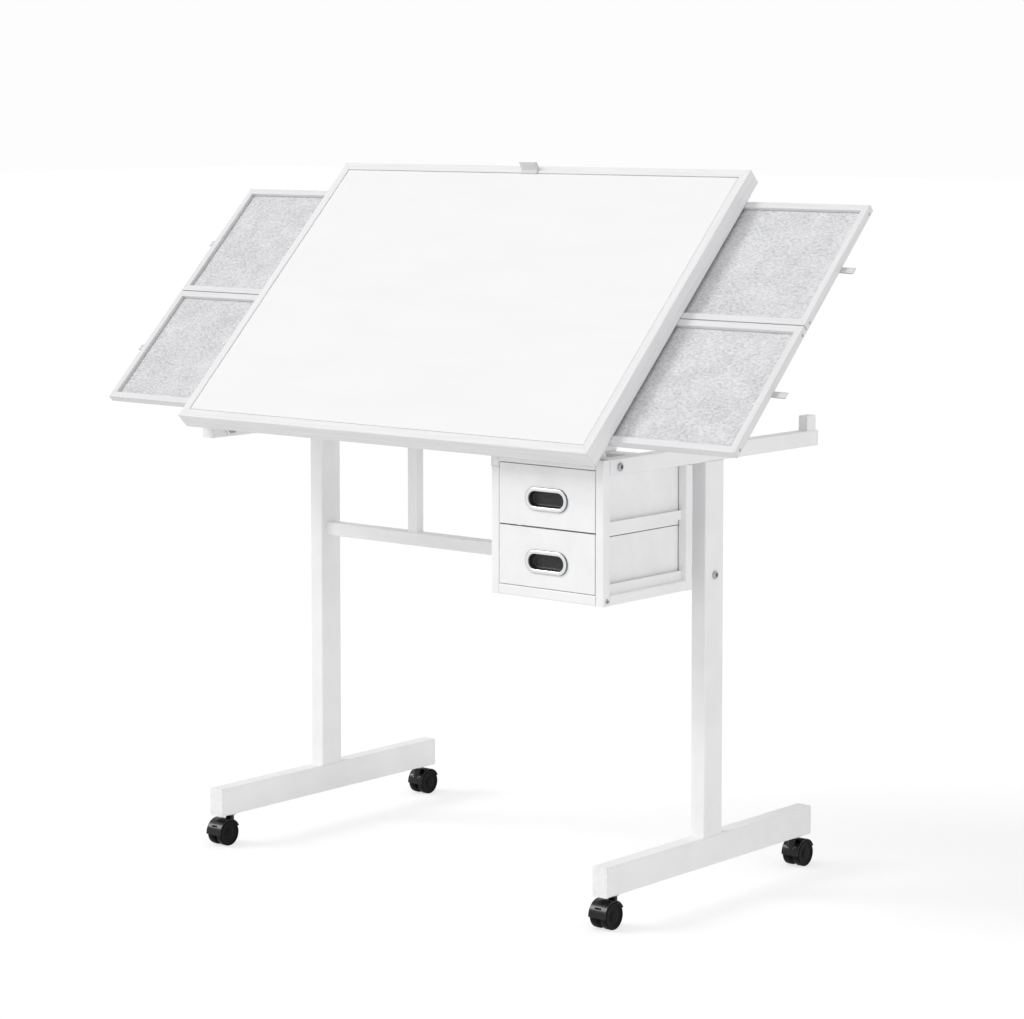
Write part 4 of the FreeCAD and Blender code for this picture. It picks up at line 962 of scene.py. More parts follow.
STEEL = PowderCoat("powder_coated_steel", "white_steel")
RIM = LinedPaint("roll_formed_rim_coat", "white_steel", "#EBEBEC", "#E4E4E5")
BOARD = FoilBoard("melamine_foil_board", "white_board")
STRIPS = LinedPaint("planed_strip_paint", "white_board", "#E5E5E6", "#DEDEDF")
COVER = CoverSheet("lacquered_cover_sheet", "white_plastic")
CAPS = MouldedWhite("moulded_end_cap", "white_plastic")
FELT = NeedleFelt("needle_felt", "grey_felt")
TAPE = TwillRibbon("twill_tape", "ribbon")
WIDE_TAPE = TwillRibbon("wide_twill_tape", "ribbon", half_width_mm=19.5)
CHROME = PolishedChrome("polished_chrome", "chrome_pull")
ZINC = ZincPlate("zinc_plated_steel", "zinc_steel")
HOOD = BlackMoulding(
    "glossy_black_hood", "black_plastic", "#09090A", "#030304", roughness=(0.22, 0.3), specular=0.34
)
WHEEL = BlackMoulding(
    "black_nylon_wheel", "black_plastic", "#131315", "#08080A", roughness=(0.4, 0.55), specular=0.1
)
CUP = BlackMoulding(
    "black_pull_cup", "black_plastic", "#3B3B3C", "#2C2C2D", roughness=(0.35, 0.45), specular=0.3
)


def dress(piece: Object, finish: Finish) -> None:
    """Gives a piece one finish all over.

    Args:
        piece: the object.
        finish: the finish that its surface gets.
    """
    material = finish.build()
    if not piece.material_slots:
        piece.data.materials.append(material)
    for place in piece.material_slots:
        place.material = material


def settle(piece: Object, body: str, finish: Finish, *nodes: str) -> None:
    """Dresses a new piece, lets it ride on its body and stand for its CAD nodes.

    Args:
        piece: the new piece.
        body: name of the CAD body that it moves with.
        finish: its finish.
        *nodes: CAD nodes that it stands for.
    """
    dress(piece, finish)
    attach(piece, body)
    if nodes:
        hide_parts(*nodes)
    LOG.info("%s rides on %s", piece.name, body)


# ------------------------------------------------------------------ the tilted board


@dataclass(frozen=True)
class Slope:
    """Where the board lies: places on it are x across, v up the slope and w below its top."""

    pivot_y: float = -231.2
    pivot_z: float = 748.5
    pivot_inset: float = 45.4
    pivot_drop: float = 88.0
    tilt_deg: float = 45.0

    def place(self, x: Array, v: Array, w: Array) -> Array:
        """Turns places on the board into places in the room.

        The place is moved so that the tilt axis is the origin, then turned about X by the tilt.

        Args:
            x: across the table.
            v: up the slope from the board's front edge.
            w: below the board's top, along its normal.

        Returns:
            Array with X, Y and Z in millimetres along its last axis.
        """
        y, z = v - self.pivot_inset, self.pivot_drop - w
        cos, sin = math.cos(math.radians(self.tilt_deg)), math.sin(math.radians(self.tilt_deg))
        return join_axes(x, self.pivot_y + y * cos - z * sin, self.pivot_z + y * sin + z * cos)


SLOPE = Slope()


def mitred_frame(name: str, area: Area, top: float, section: Array, joint: float) -> Object:
    """Four frame members with mitred ends.

    A point of the section lies d inwards from the frame's outer edge and w down; each member runs
    along its side and stops d before the corner, so that the ends lie on the mitre.

    Args:
        name: name of the piece.
        area: the frame's outer edge.
        top: w of the frame's top.
        section: array (points, 2) of d and w.
        joint: half the hairline gap in each mitre.

    Returns:
        The four closed members as one piece, with their run attribute.
    """
    inward, down = section[:, 0], section[:, 1] + top
    t = np.array([[0.0], [1.0]])
    x_run = (area.left + inward + joint) * (1 - t) + (area.right - inward - joint) * t
    v_run = (area.front + inward + joint) * (1 - t) + (area.back - inward - joint) * t
    front, back, left, right = (
        tube(SLOPE.place(x, v, down))
        for x, v in (
            (x_run, area.front + inward), (x_run, area.back - inward),
            (area.left + inward, v_run), (area.right - inward, v_run),
        )
    )
    shell = front + back + left + right
    shell.run = np.repeat([1.0, 0.0], len(shell.points) // 2)
    return even_shading(to_object(name, shell))


@dataclass(frozen=True)
class Felt:
    """One cut felt: gently uneven, with edges that curl down where they were cut.

    Attributes:
        name: name of the piece.
        area: what it covers.
        top: w of its face.
        cell: spacing of its grid.
        seed: number that fixes its waves.
        thick: its thickness.
    """

    name: str
    area: Area
    top: float
    cell: float
    seed: int
    thick: float = 1.7

    def stations(self, low: float, high: float) -> Array:
        """Places of the grid's lines along one side, closer together at its ends."""
        rim, count = np.array([0.0, 0.5, 1.2, 2.2]), max(int((high - low) / self.cell), 8)
        return np.concatenate([low + rim, np.linspace(low + 4, high - 4, count), high - rim[::-1]])

    def lay(self, body: str, node: str, floor: str) -> None:
        """Lays the felt.

        The face lies 0.15 mm below the level plus seeded waves of 0.18 and 0.07 mm, and within
        2 mm of the edge it falls by 0.7 mm times the square of the share of that way.

        Args:
            body: CAD body that it rides on.
            node: CAD node that it stands for.
            floor: CAD node that it lies on; not used.
        """
        area = self.area
        x, v = np.meshgrid(
            self.stations(area.left, area.right), self.stations(area.front, area.back)
        )
        sides = [x - area.left, area.right - x, v - area.front, area.back - v]
        curl = 0.7 * np.clip(1 - np.min(sides, axis=0) / 2.0, 0, 1) ** 2
        waves = 0.18 * height_noise(x, v, 30, self.seed)
        waves += 0.07 * height_noise(x, v, 7, self.seed + 1)
        points = SLOPE.place(x, v, self.top + 0.15 + curl + waves)
        shell = grid_shell(points, uv=join_axes(x - area.left, v - area.front))
        piece = to_object(self.name, shell, SHEET_CREASE, closed=False)
        thicken(piece, self.thick, -1.0)
        settle(piece, body, FELT, node)


@dataclass(frozen=True)
class Ribbon:
    """A strip of tape folded along a line, always as wide, its UV the length along that line.

    Attributes:
        name: name of the piece.
        finish: its tape.
        half_width: half the tape's width.
        thick: its thickness.
        across_is_x: whether its width runs along X, and its line then along v.
        middle: place of its middle along its width.
    """

    name: str
    finish: Finish
    half_width: float
    thick: float
    across_is_x: bool
    middle: float

    def fold(self, line: Array, body: str, node: str, holder: str) -> None:
        """Folds the ribbon.

        Args:
            line: array (points, 2), first the place along the board, then w below its top.
            body: CAD body that it rides on.
            node: CAD node that it stands for.
            holder: piece that holds it; not used.
        """
        steps = np.linalg.norm(np.diff(line, axis=0), axis=1)
        run = np.concatenate([[0], np.cumsum(steps)])[:, None]
        side = np.linspace(-self.half_width, self.half_width, 7)[None, :]
        along, down, spot = line[:, :1], line[:, 1:], self.middle + side
        x, v = (spot, along) if self.across_is_x else (along, spot)
        shell = grid_shell(SLOPE.place(x, v, down), uv=join_axes(side, run))
        piece = to_object(self.name, shell, SHEET_CREASE, closed=False)
        thicken(piece, self.thick, 0.0)
        settle(piece, body, self.finish, node)


@dataclass
class TiltingBoard:
    """Mitred rim, loose cover panel with its ribbon, and the felt-covered puzzle board."""

    area: Area = Area(-459.5, 459.5, 0.0, 617.0)
    rim_width: float = 16.5
    rim_height: float = 31.0
    rim_round: float = 1.3
    ledge_width: float = 5.5
    ledge_top: float = 5.0
    ledge_thick: float = 5.0
    mitre_gap: float = 0.12
    cover_round: float = 0.6
    felt_inset: float = 22.5
    felt_top: float = 8.0
    felt_cell: float = 6.0
    felt_seed: int = 11
    tape_half_width: float = 19.3
    tape_middle: float = -9.5
    tape_thick: float = 0.55
    tape_path: Pairs = (
        (598.9, 4.4), (598.95, 2.0), (599.1, 0.3), (600.4, -0.75), (603.0, -0.62), (605.2, -0.95),
        (606.3, -2.8), (607.6, -8.0), (609.1, -13.6), (609.6, -15.3), (610.4, -15.9),
        (611.0, -15.1), (610.2, -11.0), (608.8, -5.6), (607.7, -1.7), (606.6, -0.75),
        (605.4, -0.42),
    )

    def rim(self) -> None:
        """Builds the rim: a box section with the ledge that the cover lies on."""
        width, low = self.rim_width, self.ledge_top + self.ledge_thick
        reach, soft = width + self.ledge_width, self.rim_round
        section = rounded_outline(
            [
                (0, 0, soft), (width, 0, soft * 0.7), (width, self.ledge_top, 0.2),
                (reach, self.ledge_top, 0.3), (reach, low, 0.3), (width, low, 0.2),
                (width, self.rim_height, soft), (0, self.rim_height, soft),
            ]
        )
        piece = mitred_frame("mitred_rim", self.area, 0.0, section, self.mitre_gap)
        settle(piece, "board", RIM, "board_rim")

    def build(self) -> None:
        """Builds the rim, the cover, the felt under it and the ribbon.

        The ribbon comes out of the groove, lies back over the rim and stands up, folded at its top.
        """
        self.rim()
        cover = rounded_copy("cover_panel", "cover_sheet", self.cover_round)
        settle(cover, "board", COVER, "cover_panel")
        inside = self.area.inset(self.felt_inset)
        felt = Felt("puzzle_board_felt", inside, self.felt_top, self.felt_cell, self.felt_seed)
        felt.lay("board", "board_felt", "board_panel")
        ribbon = Ribbon(
            "cover_ribbon", WIDE_TAPE, self.tape_half_width, self.tape_thick, True, self.tape_middle
        )
        ribbon.fold(smooth_path(self.tape_path), "board", "cover_tab", "mitred_rim")


@dataclass
class SlidingTray:
    """One felt-lined tray: mitred strips with a groove, the felt, its ribbon and corner screws."""

    row: Row
    side: Side
    fronts: tuple[float, float] = (51.7, 313.85)
    outer_end: float = 701.3
    length: float = 455.0
    width: float = 260.15
    strip: float = 12.5
    height: float = 14.0
    top: float = 31.4
    floor_top: float = 8.0
    floor_thick: float = 3.0
    groove: float = 5.0
    strip_round: float = 0.9
    mitre_gap: float = 0.08
    felt_gap: float = 0.5
    felt_drop: float = 6.0
    felt_cell: float = 3.2
    tape_half_width: float = 6.0
    tape_thick: float = 0.42
    tape_path: Pairs = (
        (689.6, 0.3), (695.0, 0.3), (701.0, 0.32), (707.0, 0.3), (714.0, 0.2), (721.0, 0.35),
        (725.4, 0.7), (726.7, 1.25), (725.3, 1.7), (720.0, 1.75), (713.0, 1.5), (706.0, 1.05),
        (700.0, 0.82), (694.0, 0.78), (689.6, 0.78),
    )
    screw_radius: float = 2.7

    @property
    def name(self) -> str:
        """The tray's name, as its CAD nodes and its body have it."""
        return f"{self.row.value}_{self.side.word}_tray"

    @property
    def area(self) -> Area:
        """What the tray covers.

        Returns:
            The oblong over its strips' outer edges.
        """
        ends = sorted(self.side.value * x for x in (self.outer_end, self.outer_end - self.length))
        lower, upper = self.fronts
        front = upper if self.row is Row.UPPER else lower
        return Area(*ends, front, front + self.width)

    def strips(self) -> None:
        """Builds the frame: a rounded strip with the groove that holds the tray's bottom."""
        soft, wide, low = self.strip_round, self.strip, self.floor_top + self.floor_thick
        section = rounded_outline(
            [
                (0, 0, soft), (wide, 0, soft), (wide, self.floor_top, 0.15),
                (wide - self.groove, self.floor_top, 0.15), (wide - self.groove, low, 0.15),
                (wide, low, 0.15), (wide, self.height, 0.5), (0, self.height, soft),
            ]
        )
        piece = mitred_frame(f"{self.name}_strips", self.area, self.top, section, self.mitre_gap)
        settle(piece, self.name, STRIPS, f"{self.name}_frame")

    def linings(self) -> None:
        """Lays the felt and folds the pull ribbon: out from under the end strip, and back."""
        inside, node = self.area.inset(self.strip + self.felt_gap), f"{self.name}_fabric"
        seed = 21 + 7 * self.side.value + (3 if self.row is Row.UPPER else 0)
        felt = Felt(f"{self.name}_felt", inside, self.top + self.felt_drop, self.felt_cell, seed)
        felt.lay(self.name, node, f"{self.name}_bottom")
        line = smooth_path(self.tape_path) + np.array([0, self.top + self.height])
        middle = self.area.front + self.width / 2
        ribbon = Ribbon(
            f"{self.name}_ribbon", TAPE, self.tape_half_width, self.tape_thick, False, middle
        )
        ribbon.fold(line * np.array([self.side.value, 1]), self.name, node, f"{self.name}_strips")

    def screws(self) -> None:
        """Sets a low screw head into the end strip beside each of its two corners."""
        radius, w = self.screw_radius, self.top + self.height * 0.62
        profile = [
            (-0.4, 0.0), (-0.4, radius), (0.05, radius), (0.3, radius * 0.85),
            (0.45, radius * 0.5), (0.45, radius * 0.42), (-0.2, radius * 0.3), (-0.25, 0.0),
        ]
        head = lathe(profile, 32)
        rise, across, down = head.points.T
        x = self.side.value * (self.outer_end + rise)
        near, far = (
            Shell(SLOPE.place(x, v + across, w + down), head.faces)
            for v in (self.area.front + self.strip, self.area.back - self.strip)
        )
        settle(to_object(f"{self.name}_corner_screws", near + far), self.name, ZINC)

    def build(self) -> None:
        """Builds every piece of the tray."""
        self.strips()
        self.linings()
        self.screws()


# ------------------------------------------------------------------ drawers, bolts, casters


@dataclass
class DrawerPull:
    """Oval pull: a crowned chrome ring on the drawer front and a black cup sunk into it."""

    row: Row
    centre_z: float
    centre_x: float = 335.0
    front_y: float = -272.5
    ring_length: float = 88.0
    ring_height: float = 38.0
    slot_length: float = 71.0
    slot_height: float = 24.4
    ring_rise: float = 3.0
    cup_depth: float = 10.0
    cup_wall: float = 1.4

    def loops(self, sizes: Sequence[Triple]) -> Array:
        """Stacks stadium outlines: each has its own length, height and place along Y.

        Args:
            sizes: length, height and Y of each outline.

        Returns:
            Array (outlines, points, 3).
        """
        outlines = [(stadium(length, height).T, y) for length, height, y in sizes]
        return np.stack(
            [join_axes(self.centre_x + x, y, self.centre_z + z) for (x, z), y in outlines]
        )

    def ring(self) -> Shell:
        """The ring: between slot and outline it rises as a flattened half circle.

        The share of the way from slot to outline is half of one minus the cosine of the angle,
        and the rise is its sine to the power 0.55.

        Returns:
            The closed ring.
        """
        angle = np.linspace(0, math.pi, 25)
        share = (1 - np.cos(angle)) / 2
        rise = self.ring_rise * np.sin(angle).clip(0) ** 0.55
        rise[-1] = 0.0
        length = self.slot_length + (self.ring_length - self.slot_length) * share
        height = self.slot_height + (self.ring_height - self.slot_height) * share
        rows = self.loops(list(zip(length, height, self.front_y - rise)))
        return grid_shell(np.concatenate([rows, rows[:1]]), around=True)

    def crown(self, mesh: bpy.types.Mesh) -> Array:
        """Where each vertex of the ring lies between its edges and its crown; the chrome's painted
        reflection darkens towards the edges by it.

        The place across the ring is the distance from its centre line less the slot's radius; it
        counts fully from a fifth of the ring's width inwards of either edge.

        Args:
            mesh: the ring's mesh.

        Returns:
            Values from 0 at the edges to 1 on the crown.
        """
        place = np.zeros(len(mesh.vertices) * 3, np.float32)
        mesh.vertices.foreach_get("co", place)
        x, _, z = (place.reshape(-1, 3) / MM).T
        reach = (self.slot_length - self.slot_height + self.ring_length - self.ring_height) / 4
        beyond = np.clip(np.abs(x - self.centre_x) - reach, 0, None)
        across = np.hypot(beyond, z - self.centre_z) - self.slot_height / 2
        share = across / ((self.ring_height - self.slot_height) / 2)
        return np.clip(np.minimum(share, 1 - share) / 0.2, 0, 1).astype(np.float32)

    def cup(self) -> Shell:
        """The cup: a drafted wall with a rounded foot, a floor, and the wall's outside.

        Returns:
            The closed cup.
        """
        lip, deep = self.cup_wall, self.cup_depth
        steps = [
            (6.0, deep - 1.5), (3.2, deep - 1.6), (1.6, deep - 2.2), (0.7, deep - 3.6),
            (0.2, 2.0), (0.0, 0.05), (-lip, 0.05), (-lip, deep - 0.3),
        ]
        return tube(
            self.loops(
                [
                    (self.slot_length - 2 * a, self.slot_height - 2 * a, self.front_y + b)
                    for a, b in steps
                ]
            )
        )

    def build(self) -> None:
        """Builds both pieces and stands them for the CAD pull."""
        drawer = f"{self.row.value}_drawer"
        ring = to_object(f"{drawer}_pull_ring", self.ring(), 75)
        # The crown attribute darkens the chrome towards the ring's edges as a painted reflection.
        crown = ring.data.attributes.new("crown", "FLOAT", "POINT")
        crown.data.foreach_set("value", self.crown(ring.data))
        settle(ring, drawer, CHROME, f"{drawer}_pull")
        cup = to_object(f"{drawer}_pull_cup", self.cup())
        settle(cup, drawer, CUP, f"{drawer}_pull")


@dataclass
class FrameBolts:
    """Button-head bolts: tilt pivots with nuts, stretcher bolts, and the cabinet's small bolts.

    Attributes:
        edge: X of the frame's right face, on which the heads lie.
        head: radius and rise of a large head, then radius of its shank.
        small_head: the same of a small head.
        pivot_length: length of a pivot's shank.
        stretcher: length of a stretcher bolt's shank, then its Y and Z.
        cabinet: the same of a cabinet bolt.
        cabinet_left: X of the left cabinet bolt's head.
        nut_flats: width of a nut over its flats.
        nut_bore: radius of its bore.
        nut_faces: X of its two faces.
    """

    edge: float = 452.0
    head: Triple = (7.0, 4.0, 3.95)
    small_head: Triple = (4.0, 2.0, 2.45)
    pivot_length: float = 37.3
    stretcher: Triple = (55.0, 25.6, 544.5)
    cabinet: Triple = (24.0, -264.0, 536.0)
    cabinet_left: float = 218.0
    nut_flats: float = 13.0
    nut_bore: float = 4.1
    nut_faces: tuple[float, float] = (415.7, 420.7)

    def button(self, head: Triple, length: float) -> Shell:
        """A bolt along +X with its head at the origin: dome, hexagon socket and plain shank.

        Each ring has a radius, a place along X and a share of the socket's hexagon in its radius.

        Args:
            head: radius and rise of the head, and radius of the shank.
            length: length of the shank.

        Returns:
            The closed bolt.
        """
        radius, rise, shank = head
        rings = [
            (0, -length, 0), (shank, -length, 0), (shank, -0.2, 0), (radius * 0.97, 0, 0),
            (radius, rise * 0.12, 0), (radius, rise * 0.3, 0), (radius * 0.93, rise * 0.62, 0),
            (radius * 0.78, rise * 0.88, 0), (radius * 0.6, rise, 0), (0, rise, 1.06),
            (0, rise * 0.92, 1), (0, rise * 0.3, 1), (0, rise * 0.22, 0),
        ]
        size, along, socket = np.array(rings, float).T[:, :, None]
        angle = turns(48)
        size = size + socket * radius * 0.43 * hexagon(angle)
        return grid_shell(join_axes(along, size * np.cos(angle), size * np.sin(angle)), around=True)

    def nut(self) -> Shell:
        """A hexagon nut along X with chamfered corners.

        Returns:
            The nut, closed round its bore.
        """
        angle, half, (low, high) = turns(48), self.nut_flats / 2, self.nut_faces
        outline = half * hexagon(angle)
        bevelled = np.minimum(outline, half * 1.06)
        rows = [
            (low, self.nut_bore), (low, bevelled), (low + 0.7, outline), (high - 0.7, outline),
            (high, bevelled), (high, self.nut_bore), (low, self.nut_bore),
        ]
        points = [join_axes(x, r * np.cos(angle), r * np.sin(angle)) for x, r in rows]
        return grid_shell(np.stack(points), around=True)

    def build(self) -> None:
        """Builds all bolts as one set for each kind, and stands them for the CAD bolts."""
        axis = (SLOPE.pivot_y, SLOPE.pivot_z)
        right = (
            self.button(self.head, self.pivot_length).moved(self.edge, *axis)
            + self.nut().moved(0, *axis)
            + self.button(self.head, self.stretcher[0]).moved(self.edge, *self.stretcher[1:])
        )
        small = self.button(self.small_head, self.cabinet[0])
        cabinet = small.moved(self.edge, *self.cabinet[1:])
        cabinet += small.mirrored().moved(self.cabinet_left, *self.cabinet[1:])
        bolts = to_object("frame_button_bolts", right + right.mirrored())
        settle(bolts, "base", ZINC, "frame_bolts")
        settle(to_object("cabinet_button_bolts", cabinet), "base", ZINC, "frame_bolts")


@dataclass
class TwinCaster:
    """Twin-wheel caster: glossy moulded hood and a pair of dished nylon wheels on one axle."""

    end: str
    side: Side
    x: float = 437.0
    front_axle_y: float = -244.4
    rear_axle_y: float = 295.6
    wheel_radius: float = 22.5
    inner_face: float = 5.0
    outer_face: float = 17.5
    axle_half: float = 8.0
    axle_radius: float = 2.95
    hood_round: float = 0.45
    hood_inner: float = 23.5
    hood_outer: float = 25.5
    hood_half: float = 17.0
    web_half: float = 4.2
    boss_bore: float = 3.2
    boss_radius: float = 7.0
    back_angle: float = 25.0
    front_angle: float = 183.0
    web_angle: float = 150.0
    slot_angles: tuple[float, float] = (143.9, 150.1)
    slot_half: float = 6.4
    neck_radius: float = 7.5
    neck_ahead: float = 17.0
    neck_top: float = 51.7
    stem_radius: float = 3.98
    stem_top: float = 84.0

    @property
    def name(self) -> str:
        """The caster's name, as its CAD nodes and bodies have it."""
        return f"{self.end}_{self.side.word}"

    @property
    def axle(self) -> Triple:
        """Place of the axle's middle."""
        y = self.front_axle_y if self.end == "front" else self.rear_axle_y
        return self.side.value * self.x, y, self.wheel_radius

    def wheels(self) -> None:
        """Builds the axle and the wheels: hub, web, tread with round shoulders, dish and cap."""
        rim, inner, outer = self.wheel_radius, self.inner_face, self.outer_face
        profile = [
            (inner, 0.0), (inner, 7.5), (inner + 1.3, 8.4), (inner + 1.4, rim - 4.2),
            (inner + 0.4, rim - 3.0), (inner, rim - 1.3), (inner + 0.35, rim - 0.4),
            (inner + 1.3, rim), (outer - 2.0, rim), (outer - 0.9, rim - 0.35),
            (outer - 0.2, rim - 1.2), (outer, rim - 2.3), (outer - 0.25, rim - 3.3),
            (outer - 1.1, rim - 4.0), (outer - 1.5, rim - 5.2), (outer - 1.6, rim - 9.5),
            (outer - 1.5, 9.0), (outer - 1.0, 8.0), (outer - 0.5, 7.4), (outer - 0.3, 5.0),
            (outer - 0.2, 2.2), (outer - 0.15, 0.0),
        ]
        wheel, half, radius = lathe(profile, 72), self.axle_half, self.axle_radius
        axle = lathe([(-half, 0), (-half, radius), (half, radius), (half, 0)], 32)
        pair = (wheel + wheel.mirrored() + axle).moved(*self.axle)
        piece = to_object(f"{self.name}_wheel_pair", pair, 30)
        settle(piece, f"{self.name}_wheels", WHEEL, f"{self.name}_caster_wheels")

    def sector(
        self, left: float, right: float, inner: float, outer: float, start: float, stop: float
    ) -> Shell:
        """One curved wall of a hood: a rounded oblong (x, r) carried round the axle.

        A point lies at y = r cos(angle) and z = r sin(angle) from the axle.

        Args:
            left: x of the wall's left edge from the caster's middle.
            right: x of its right edge.
            inner: radius of its inside.
            outer: radius of its outside.
            start: angle of its rear end in degrees.
            stop: angle of its front end in degrees.

        Returns:
            The closed wall, about the axle's middle.
        """
        soft = min(self.hood_round, (outer - inner) * 0.3)
        x, radius = rounded_outline(
            [(left, inner, soft), (right, inner, soft), (right, outer, soft), (left, outer, soft)]
        ).T
        angle = np.radians(np.linspace(start, stop, max(int((stop - start) / 3), 3)))[:, None]
        return tube(join_axes(x, radius * np.cos(angle), radius * np.sin(angle)))

    def boss(self) -> Shell:
        """The ring round the axle that the web ends in.

        Returns:
            The closed ring: its last row of points is the first one again.
        """
        half, bore, radius, count = self.web_half, self.boss_bore, self.boss_radius, 40
        profile = [(-half, bore), (-half, radius), (half, radius), (half, bore)]
        ring, number = lathe(profile + profile[:1], count), count * len(profile)
        return Shell(ring.points[:number], (np.array(ring.faces) % number).tolist())

    def neck(self) -> Shell:
        """The neck, whose underside follows the skirt, with the stem on top.

        The underside is rings of growing radius at z = sqrt(r^2 - y^2), with r in the middle of
        the skirt's wall.

        Returns:
            The closed neck, about the axle's middle.
        """
        angle, stem = turns(40), self.stem_radius / self.neck_radius
        share = np.array([0.05, 0.35, 0.65, 0.85, 1.0, 1.0, stem, stem])[:, None]
        x = share * self.neck_radius * np.cos(angle)
        y = share * self.neck_radius * np.sin(angle) - self.neck_ahead
        z = np.sqrt(np.clip(((self.hood_inner + self.hood_outer) / 2) ** 2 - y**2, 0, None))
        tops = np.array([self.neck_top, self.neck_top, self.stem_top])
        z[-3:] = tops[:, None] - self.wheel_radius
        return tube(join_axes(x, y, z))

    def rear_hood(self) -> Object:
        """Builds a rear hood: its long skirt hangs in front, below a neck that stands ahead.

        Returns:
            The hood as one object.
        """
        half, slot, web = self.hood_half, self.slot_half, self.web_half
        inner, outer, back = self.hood_inner, self.hood_outer, self.back_angle
        low, high = self.slot_angles
        shell = (
            self.sector(-half, half, inner, outer, back, low)
            + self.sector(-half, half, inner, outer, high, self.front_angle)
            + self.sector(-half, -slot, inner, outer, low, high)
            + self.sector(slot, half, inner, outer, low, high)
            + self.sector(-web, web, self.boss_radius - 0.5, inner + 0.5, back, self.web_angle)
            + self.boss()
            + self.neck()
        )
        return to_object(f"{self.name}_glossy_hood", shell.moved(*self.axle), 35.0)

    def hood(self) -> None:
        """Makes the hood: a front one from the CAD node, a rear one with its skirt in front."""
        node = f"{self.name}_caster_hood"
        if self.end == "rear":
            piece = self.rear_hood()
        else:
            piece = rounded_copy(node, f"{self.name}_glossy_hood", self.hood_round, 35.0)
        settle(piece, f"{self.name}_caster", HOOD, node)

    def build(self) -> None:
        """Builds every piece of the caster."""
        self.wheels()
        self.hood()


@dataclass
class RunnerLips:
    """Stiffening lips turned down from the upper drawer runners beside the lower drawer."""

    centre_x: float = 335.0
    inner_reach: float = 99.5
    sheet: float = 1.2
    low: float = 636.0
    high: float = 644.5
    front_y: float = -255.2
    rear_y: float = -53.8

    def build(self) -> None:
        """Builds both lips: a strip with a rounded lower edge carried along the runner."""
        soft, low, high, sheet = self.sheet * 0.45, self.low, self.high, self.sheet
        reach, height = rounded_outline(
            [(0, high, 0.05), (0, low, soft), (sheet, low, soft), (sheet, high, 0.05)]
        ).T
        run, reach = np.array([[self.front_y], [self.rear_y]]), self.inner_reach + reach
        left, right = (
            tube(join_axes(self.centre_x + side.value * reach, run, height)) for side in Side
        )
        settle(to_object("upper_runner_lips", left + right), "base", STEEL)


@dataclass
class HangerPlug:
    """Plug, painted like the frame, that closes the hanger rail's mouth flush with the cabinet."""

    left: float = 218.0
    right: float = 235.0
    low: float = 735.0
    high: float = 762.0
    mouth_y: float = -272.5
    wall: float = 1.5
    play: float = 0.05
    corner: float = 1.2
    soft: float = 0.6
    thick: float = 6.0

    def build(self) -> None:
        """Builds the plug: rounded outlines from a softened face back into the tube."""
        gap = self.wall + self.play
        left, right, low, high = self.left + gap, self.right - gap, self.low + gap, self.high - gap
        corners = [(left, low), (right, low), (right, high), (left, high)]
        outline = rounded_outline([(x, z, self.corner) for x, z in corners])
        centre = np.array([left + right, low + high]) / 2
        reach, soft = np.abs(outline - centre).max(0), self.soft
        rows = []
        for inset, depth in ((soft, 0.0), (soft * 0.3, 0.15), (0.0, soft), (0.0, self.thick)):
            x, z = (centre + (outline - centre) * (1 - inset / reach)).T
            rows.append(join_axes(x, self.mouth_y + depth, z))
        settle(to_object("hanger_rail_plug", tube(np.stack(rows))), "base", STEEL)


@dataclass
class SteelFrame:
    """CAD nodes whose shape stays: each one gets the finish of what it is made of."""

    finishes: tuple[Finish, ...] = (STEEL, BOARD, CAPS, FELT, TAPE, CHROME, ZINC, HOOD)

    def build(self) -> None:
        """Dresses every shown CAD node by its slot in the record."""
        by_slot = {finish.slot: finish for finish in self.finishes}
        for name, node in sorted(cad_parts.items()):
            if not node.hide_render:
                finish = by_slot[node.material_slots[0].material.name.split(".")[0]]
                dress(node, finish)
                LOG.info("%s keeps its CAD shape, finish %s", name, finish.name)


# ------------------------------------------------------------------ studio


def shown_to(tree: Tree, rays: Sequence[str], other: Socket, shown: Socket) -> Socket:
    """Shows one shader to some kinds of rays and another one to all others.

    Args:
        tree: node tree that the switch goes into.
        rays: the kinds of rays, by the light path's names for them.
        other: shader for all other rays.
        shown: shader for these rays.

    Returns:
        The mixed shader.
    """
    path = add_node(tree, "LightPath").outputs
    seen = path[rays[0]]
    for ray in rays[1:]:
        seen = maths(tree, "MAXIMUM", {0: seen, 1: path[ray]})
    return add_node(tree, "MixShader", links={0: seen, 1: other, 2: shown}).outputs[0]


@dataclass(frozen=True)
class Lamp:
    """One broad soft lamp.

    Attributes:
        name: name of the lamp.
        energy: its strength in watts per square metre.
        angle: how broad it is, in radians.
        way: direction towards it.
        shines: whether glossy surfaces show it as a highlight.
    """

    name: str
    energy: float
    angle: float
    way: Triple
    shines: bool = False

    def build(self) -> None:
        """Sets the lamp up."""
        data = bpy.data.lights.new(self.name, "SUN")
        data.energy, data.angle = self.energy, self.angle
        lamp = link_object(self.name, data)
        lamp.rotation_euler = Vector(self.way).to_track_quat("Z", "Y").to_euler()
        lamp.visible_glossy = self.shines


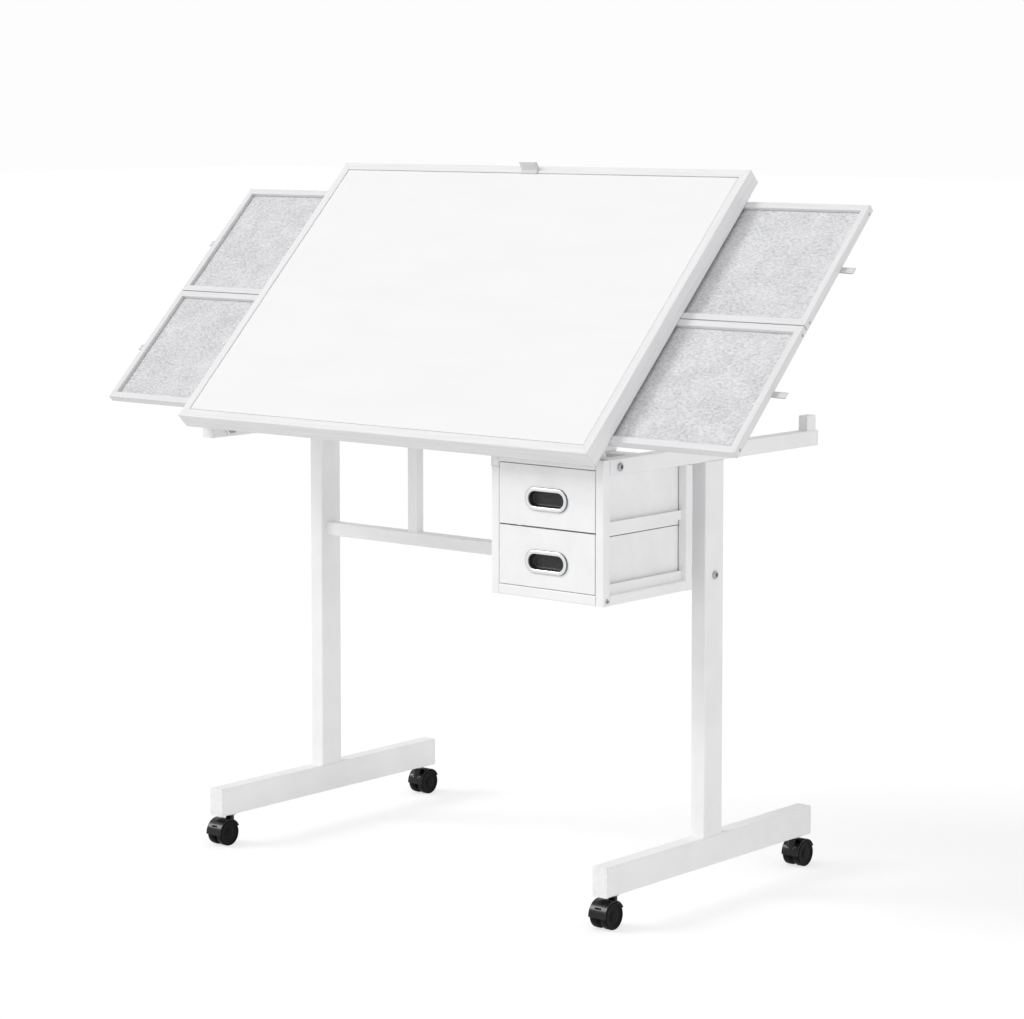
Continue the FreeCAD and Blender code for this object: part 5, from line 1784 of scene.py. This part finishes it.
@dataclass
class Studio:
    """Pale floor, soft light from the upper left and the camera at the table's front corner."""

    camera_m: Triple = (3.43913, -4.06102, 1.33174)
    camera_turn: float = 0.69779
    camera_dip: float = 0.08342
    lens_mm: float = 107.908
    sensor_mm: float = 36.0
    shift_y: float = -0.15
    clip_m: tuple[float, float] = (0.1, 100.0)
    sky: float = 0.6
    white: str = "#FDFDFD"
    floor_m: float = 40.0
    floor_colour: str = "#F4F4F4"
    floor_seen: str = "#A8A8A8"
    floor_glow: float = 0.66
    lamps: tuple[Lamp, ...] = (
        Lamp("key", 1.43, 0.42, (-0.62, -0.5, 0.6), shines=True),
        Lamp("fill", 0.5, 0.3, (0.99, 0.0, 0.14)),
        Lamp("front", 0.26, 0.5, (0.0, -0.97, 0.24)),
    )

    def camera(self) -> None:
        """Sets the camera up: a long lens that looks slightly down."""
        data = bpy.data.cameras.new("view")
        data.lens, data.sensor_width, data.sensor_fit = self.lens_mm, self.sensor_mm, "HORIZONTAL"
        data.shift_y = self.shift_y
        data.clip_start, data.clip_end = self.clip_m
        data.dof.use_dof = False
        camera = link_object("view", data)
        camera.location = self.camera_m
        camera.rotation_euler = (math.pi / 2 - self.camera_dip, 0, self.camera_turn)
        bpy.context.scene.camera = camera

    def world(self) -> None:
        """An even pale sky that eyes and mirrors see white."""
        world = bpy.data.worlds.new("studio")
        bpy.context.scene.world = world
        tree = empty_tree(world)
        light, white = (
            add_node(tree, "Background", {":Color": linear(colour), ":Strength": strength})
            for colour, strength in (("#FFFFFF", self.sky), (self.white, 1.0))
        )
        rays = ("Is Camera Ray", "Is Glossy Ray", "Is Transmission Ray")
        both = shown_to(tree, rays, light.outputs[0], white.outputs[0])
        add_node(tree, "OutputWorld", links={"Surface": both})

    def floor(self) -> None:
        """A wide floor: white to the eye, with the table's shadow, and pale to bounced light."""
        far = self.floor_m
        mesh = bpy.data.meshes.new("floor")
        corners = [(-far, -far, 0), (far, -far, 0), (far, far, 0), (-far, far, 0)]
        mesh.from_pydata(corners, [], [[0, 1, 2, 3]])
        material = bpy.data.materials.new("studio_floor")
        tree = empty_tree(material)
        pale, dim = (
            add_node(tree, "BsdfDiffuse", {":Color": linear(colour)}).outputs[0]
            for colour in (self.floor_colour, self.floor_seen)
        )
        white = {":Color": linear("#FFFFFF"), ":Strength": self.floor_glow}
        glow = add_node(tree, "Emission", white).outputs[0]
        bright = add_node(tree, "AddShader", links={0: dim, 1: glow}).outputs[0]
        both = shown_to(tree, ("Is Camera Ray", "Is Glossy Ray"), pale, bright)
        add_node(tree, "OutputMaterial", links={"Surface": both})
        mesh.materials.append(material)
        link_object("floor", mesh)

    def build(self) -> None:
        """Sets the whole studio up."""
        self.camera()
        self.world()
        for lamp in self.lamps:
            lamp.build()
        self.floor()
        bpy.context.scene.view_settings.view_transform = "Standard"


def main() -> None:
    """Builds the table's pieces in order, then the studio round it."""
    logging.basicConfig(level=logging.INFO, format="%(message)s")
    Studio().build()
    TiltingBoard().build()
    for row in Row:
        for side in Side:
            SlidingTray(row, side).build()
    DrawerPull(Row.LOWER, 588.0).build()
    DrawerPull(Row.UPPER, 690.0).build()
    FrameBolts().build()
    RunnerLips().build()
    HangerPlug().build()
    for end in ("front", "rear"):
        for side in Side:
            TwinCaster(end, side).build()
    SteelFrame().build()


if __name__ == "__main__":
    main()
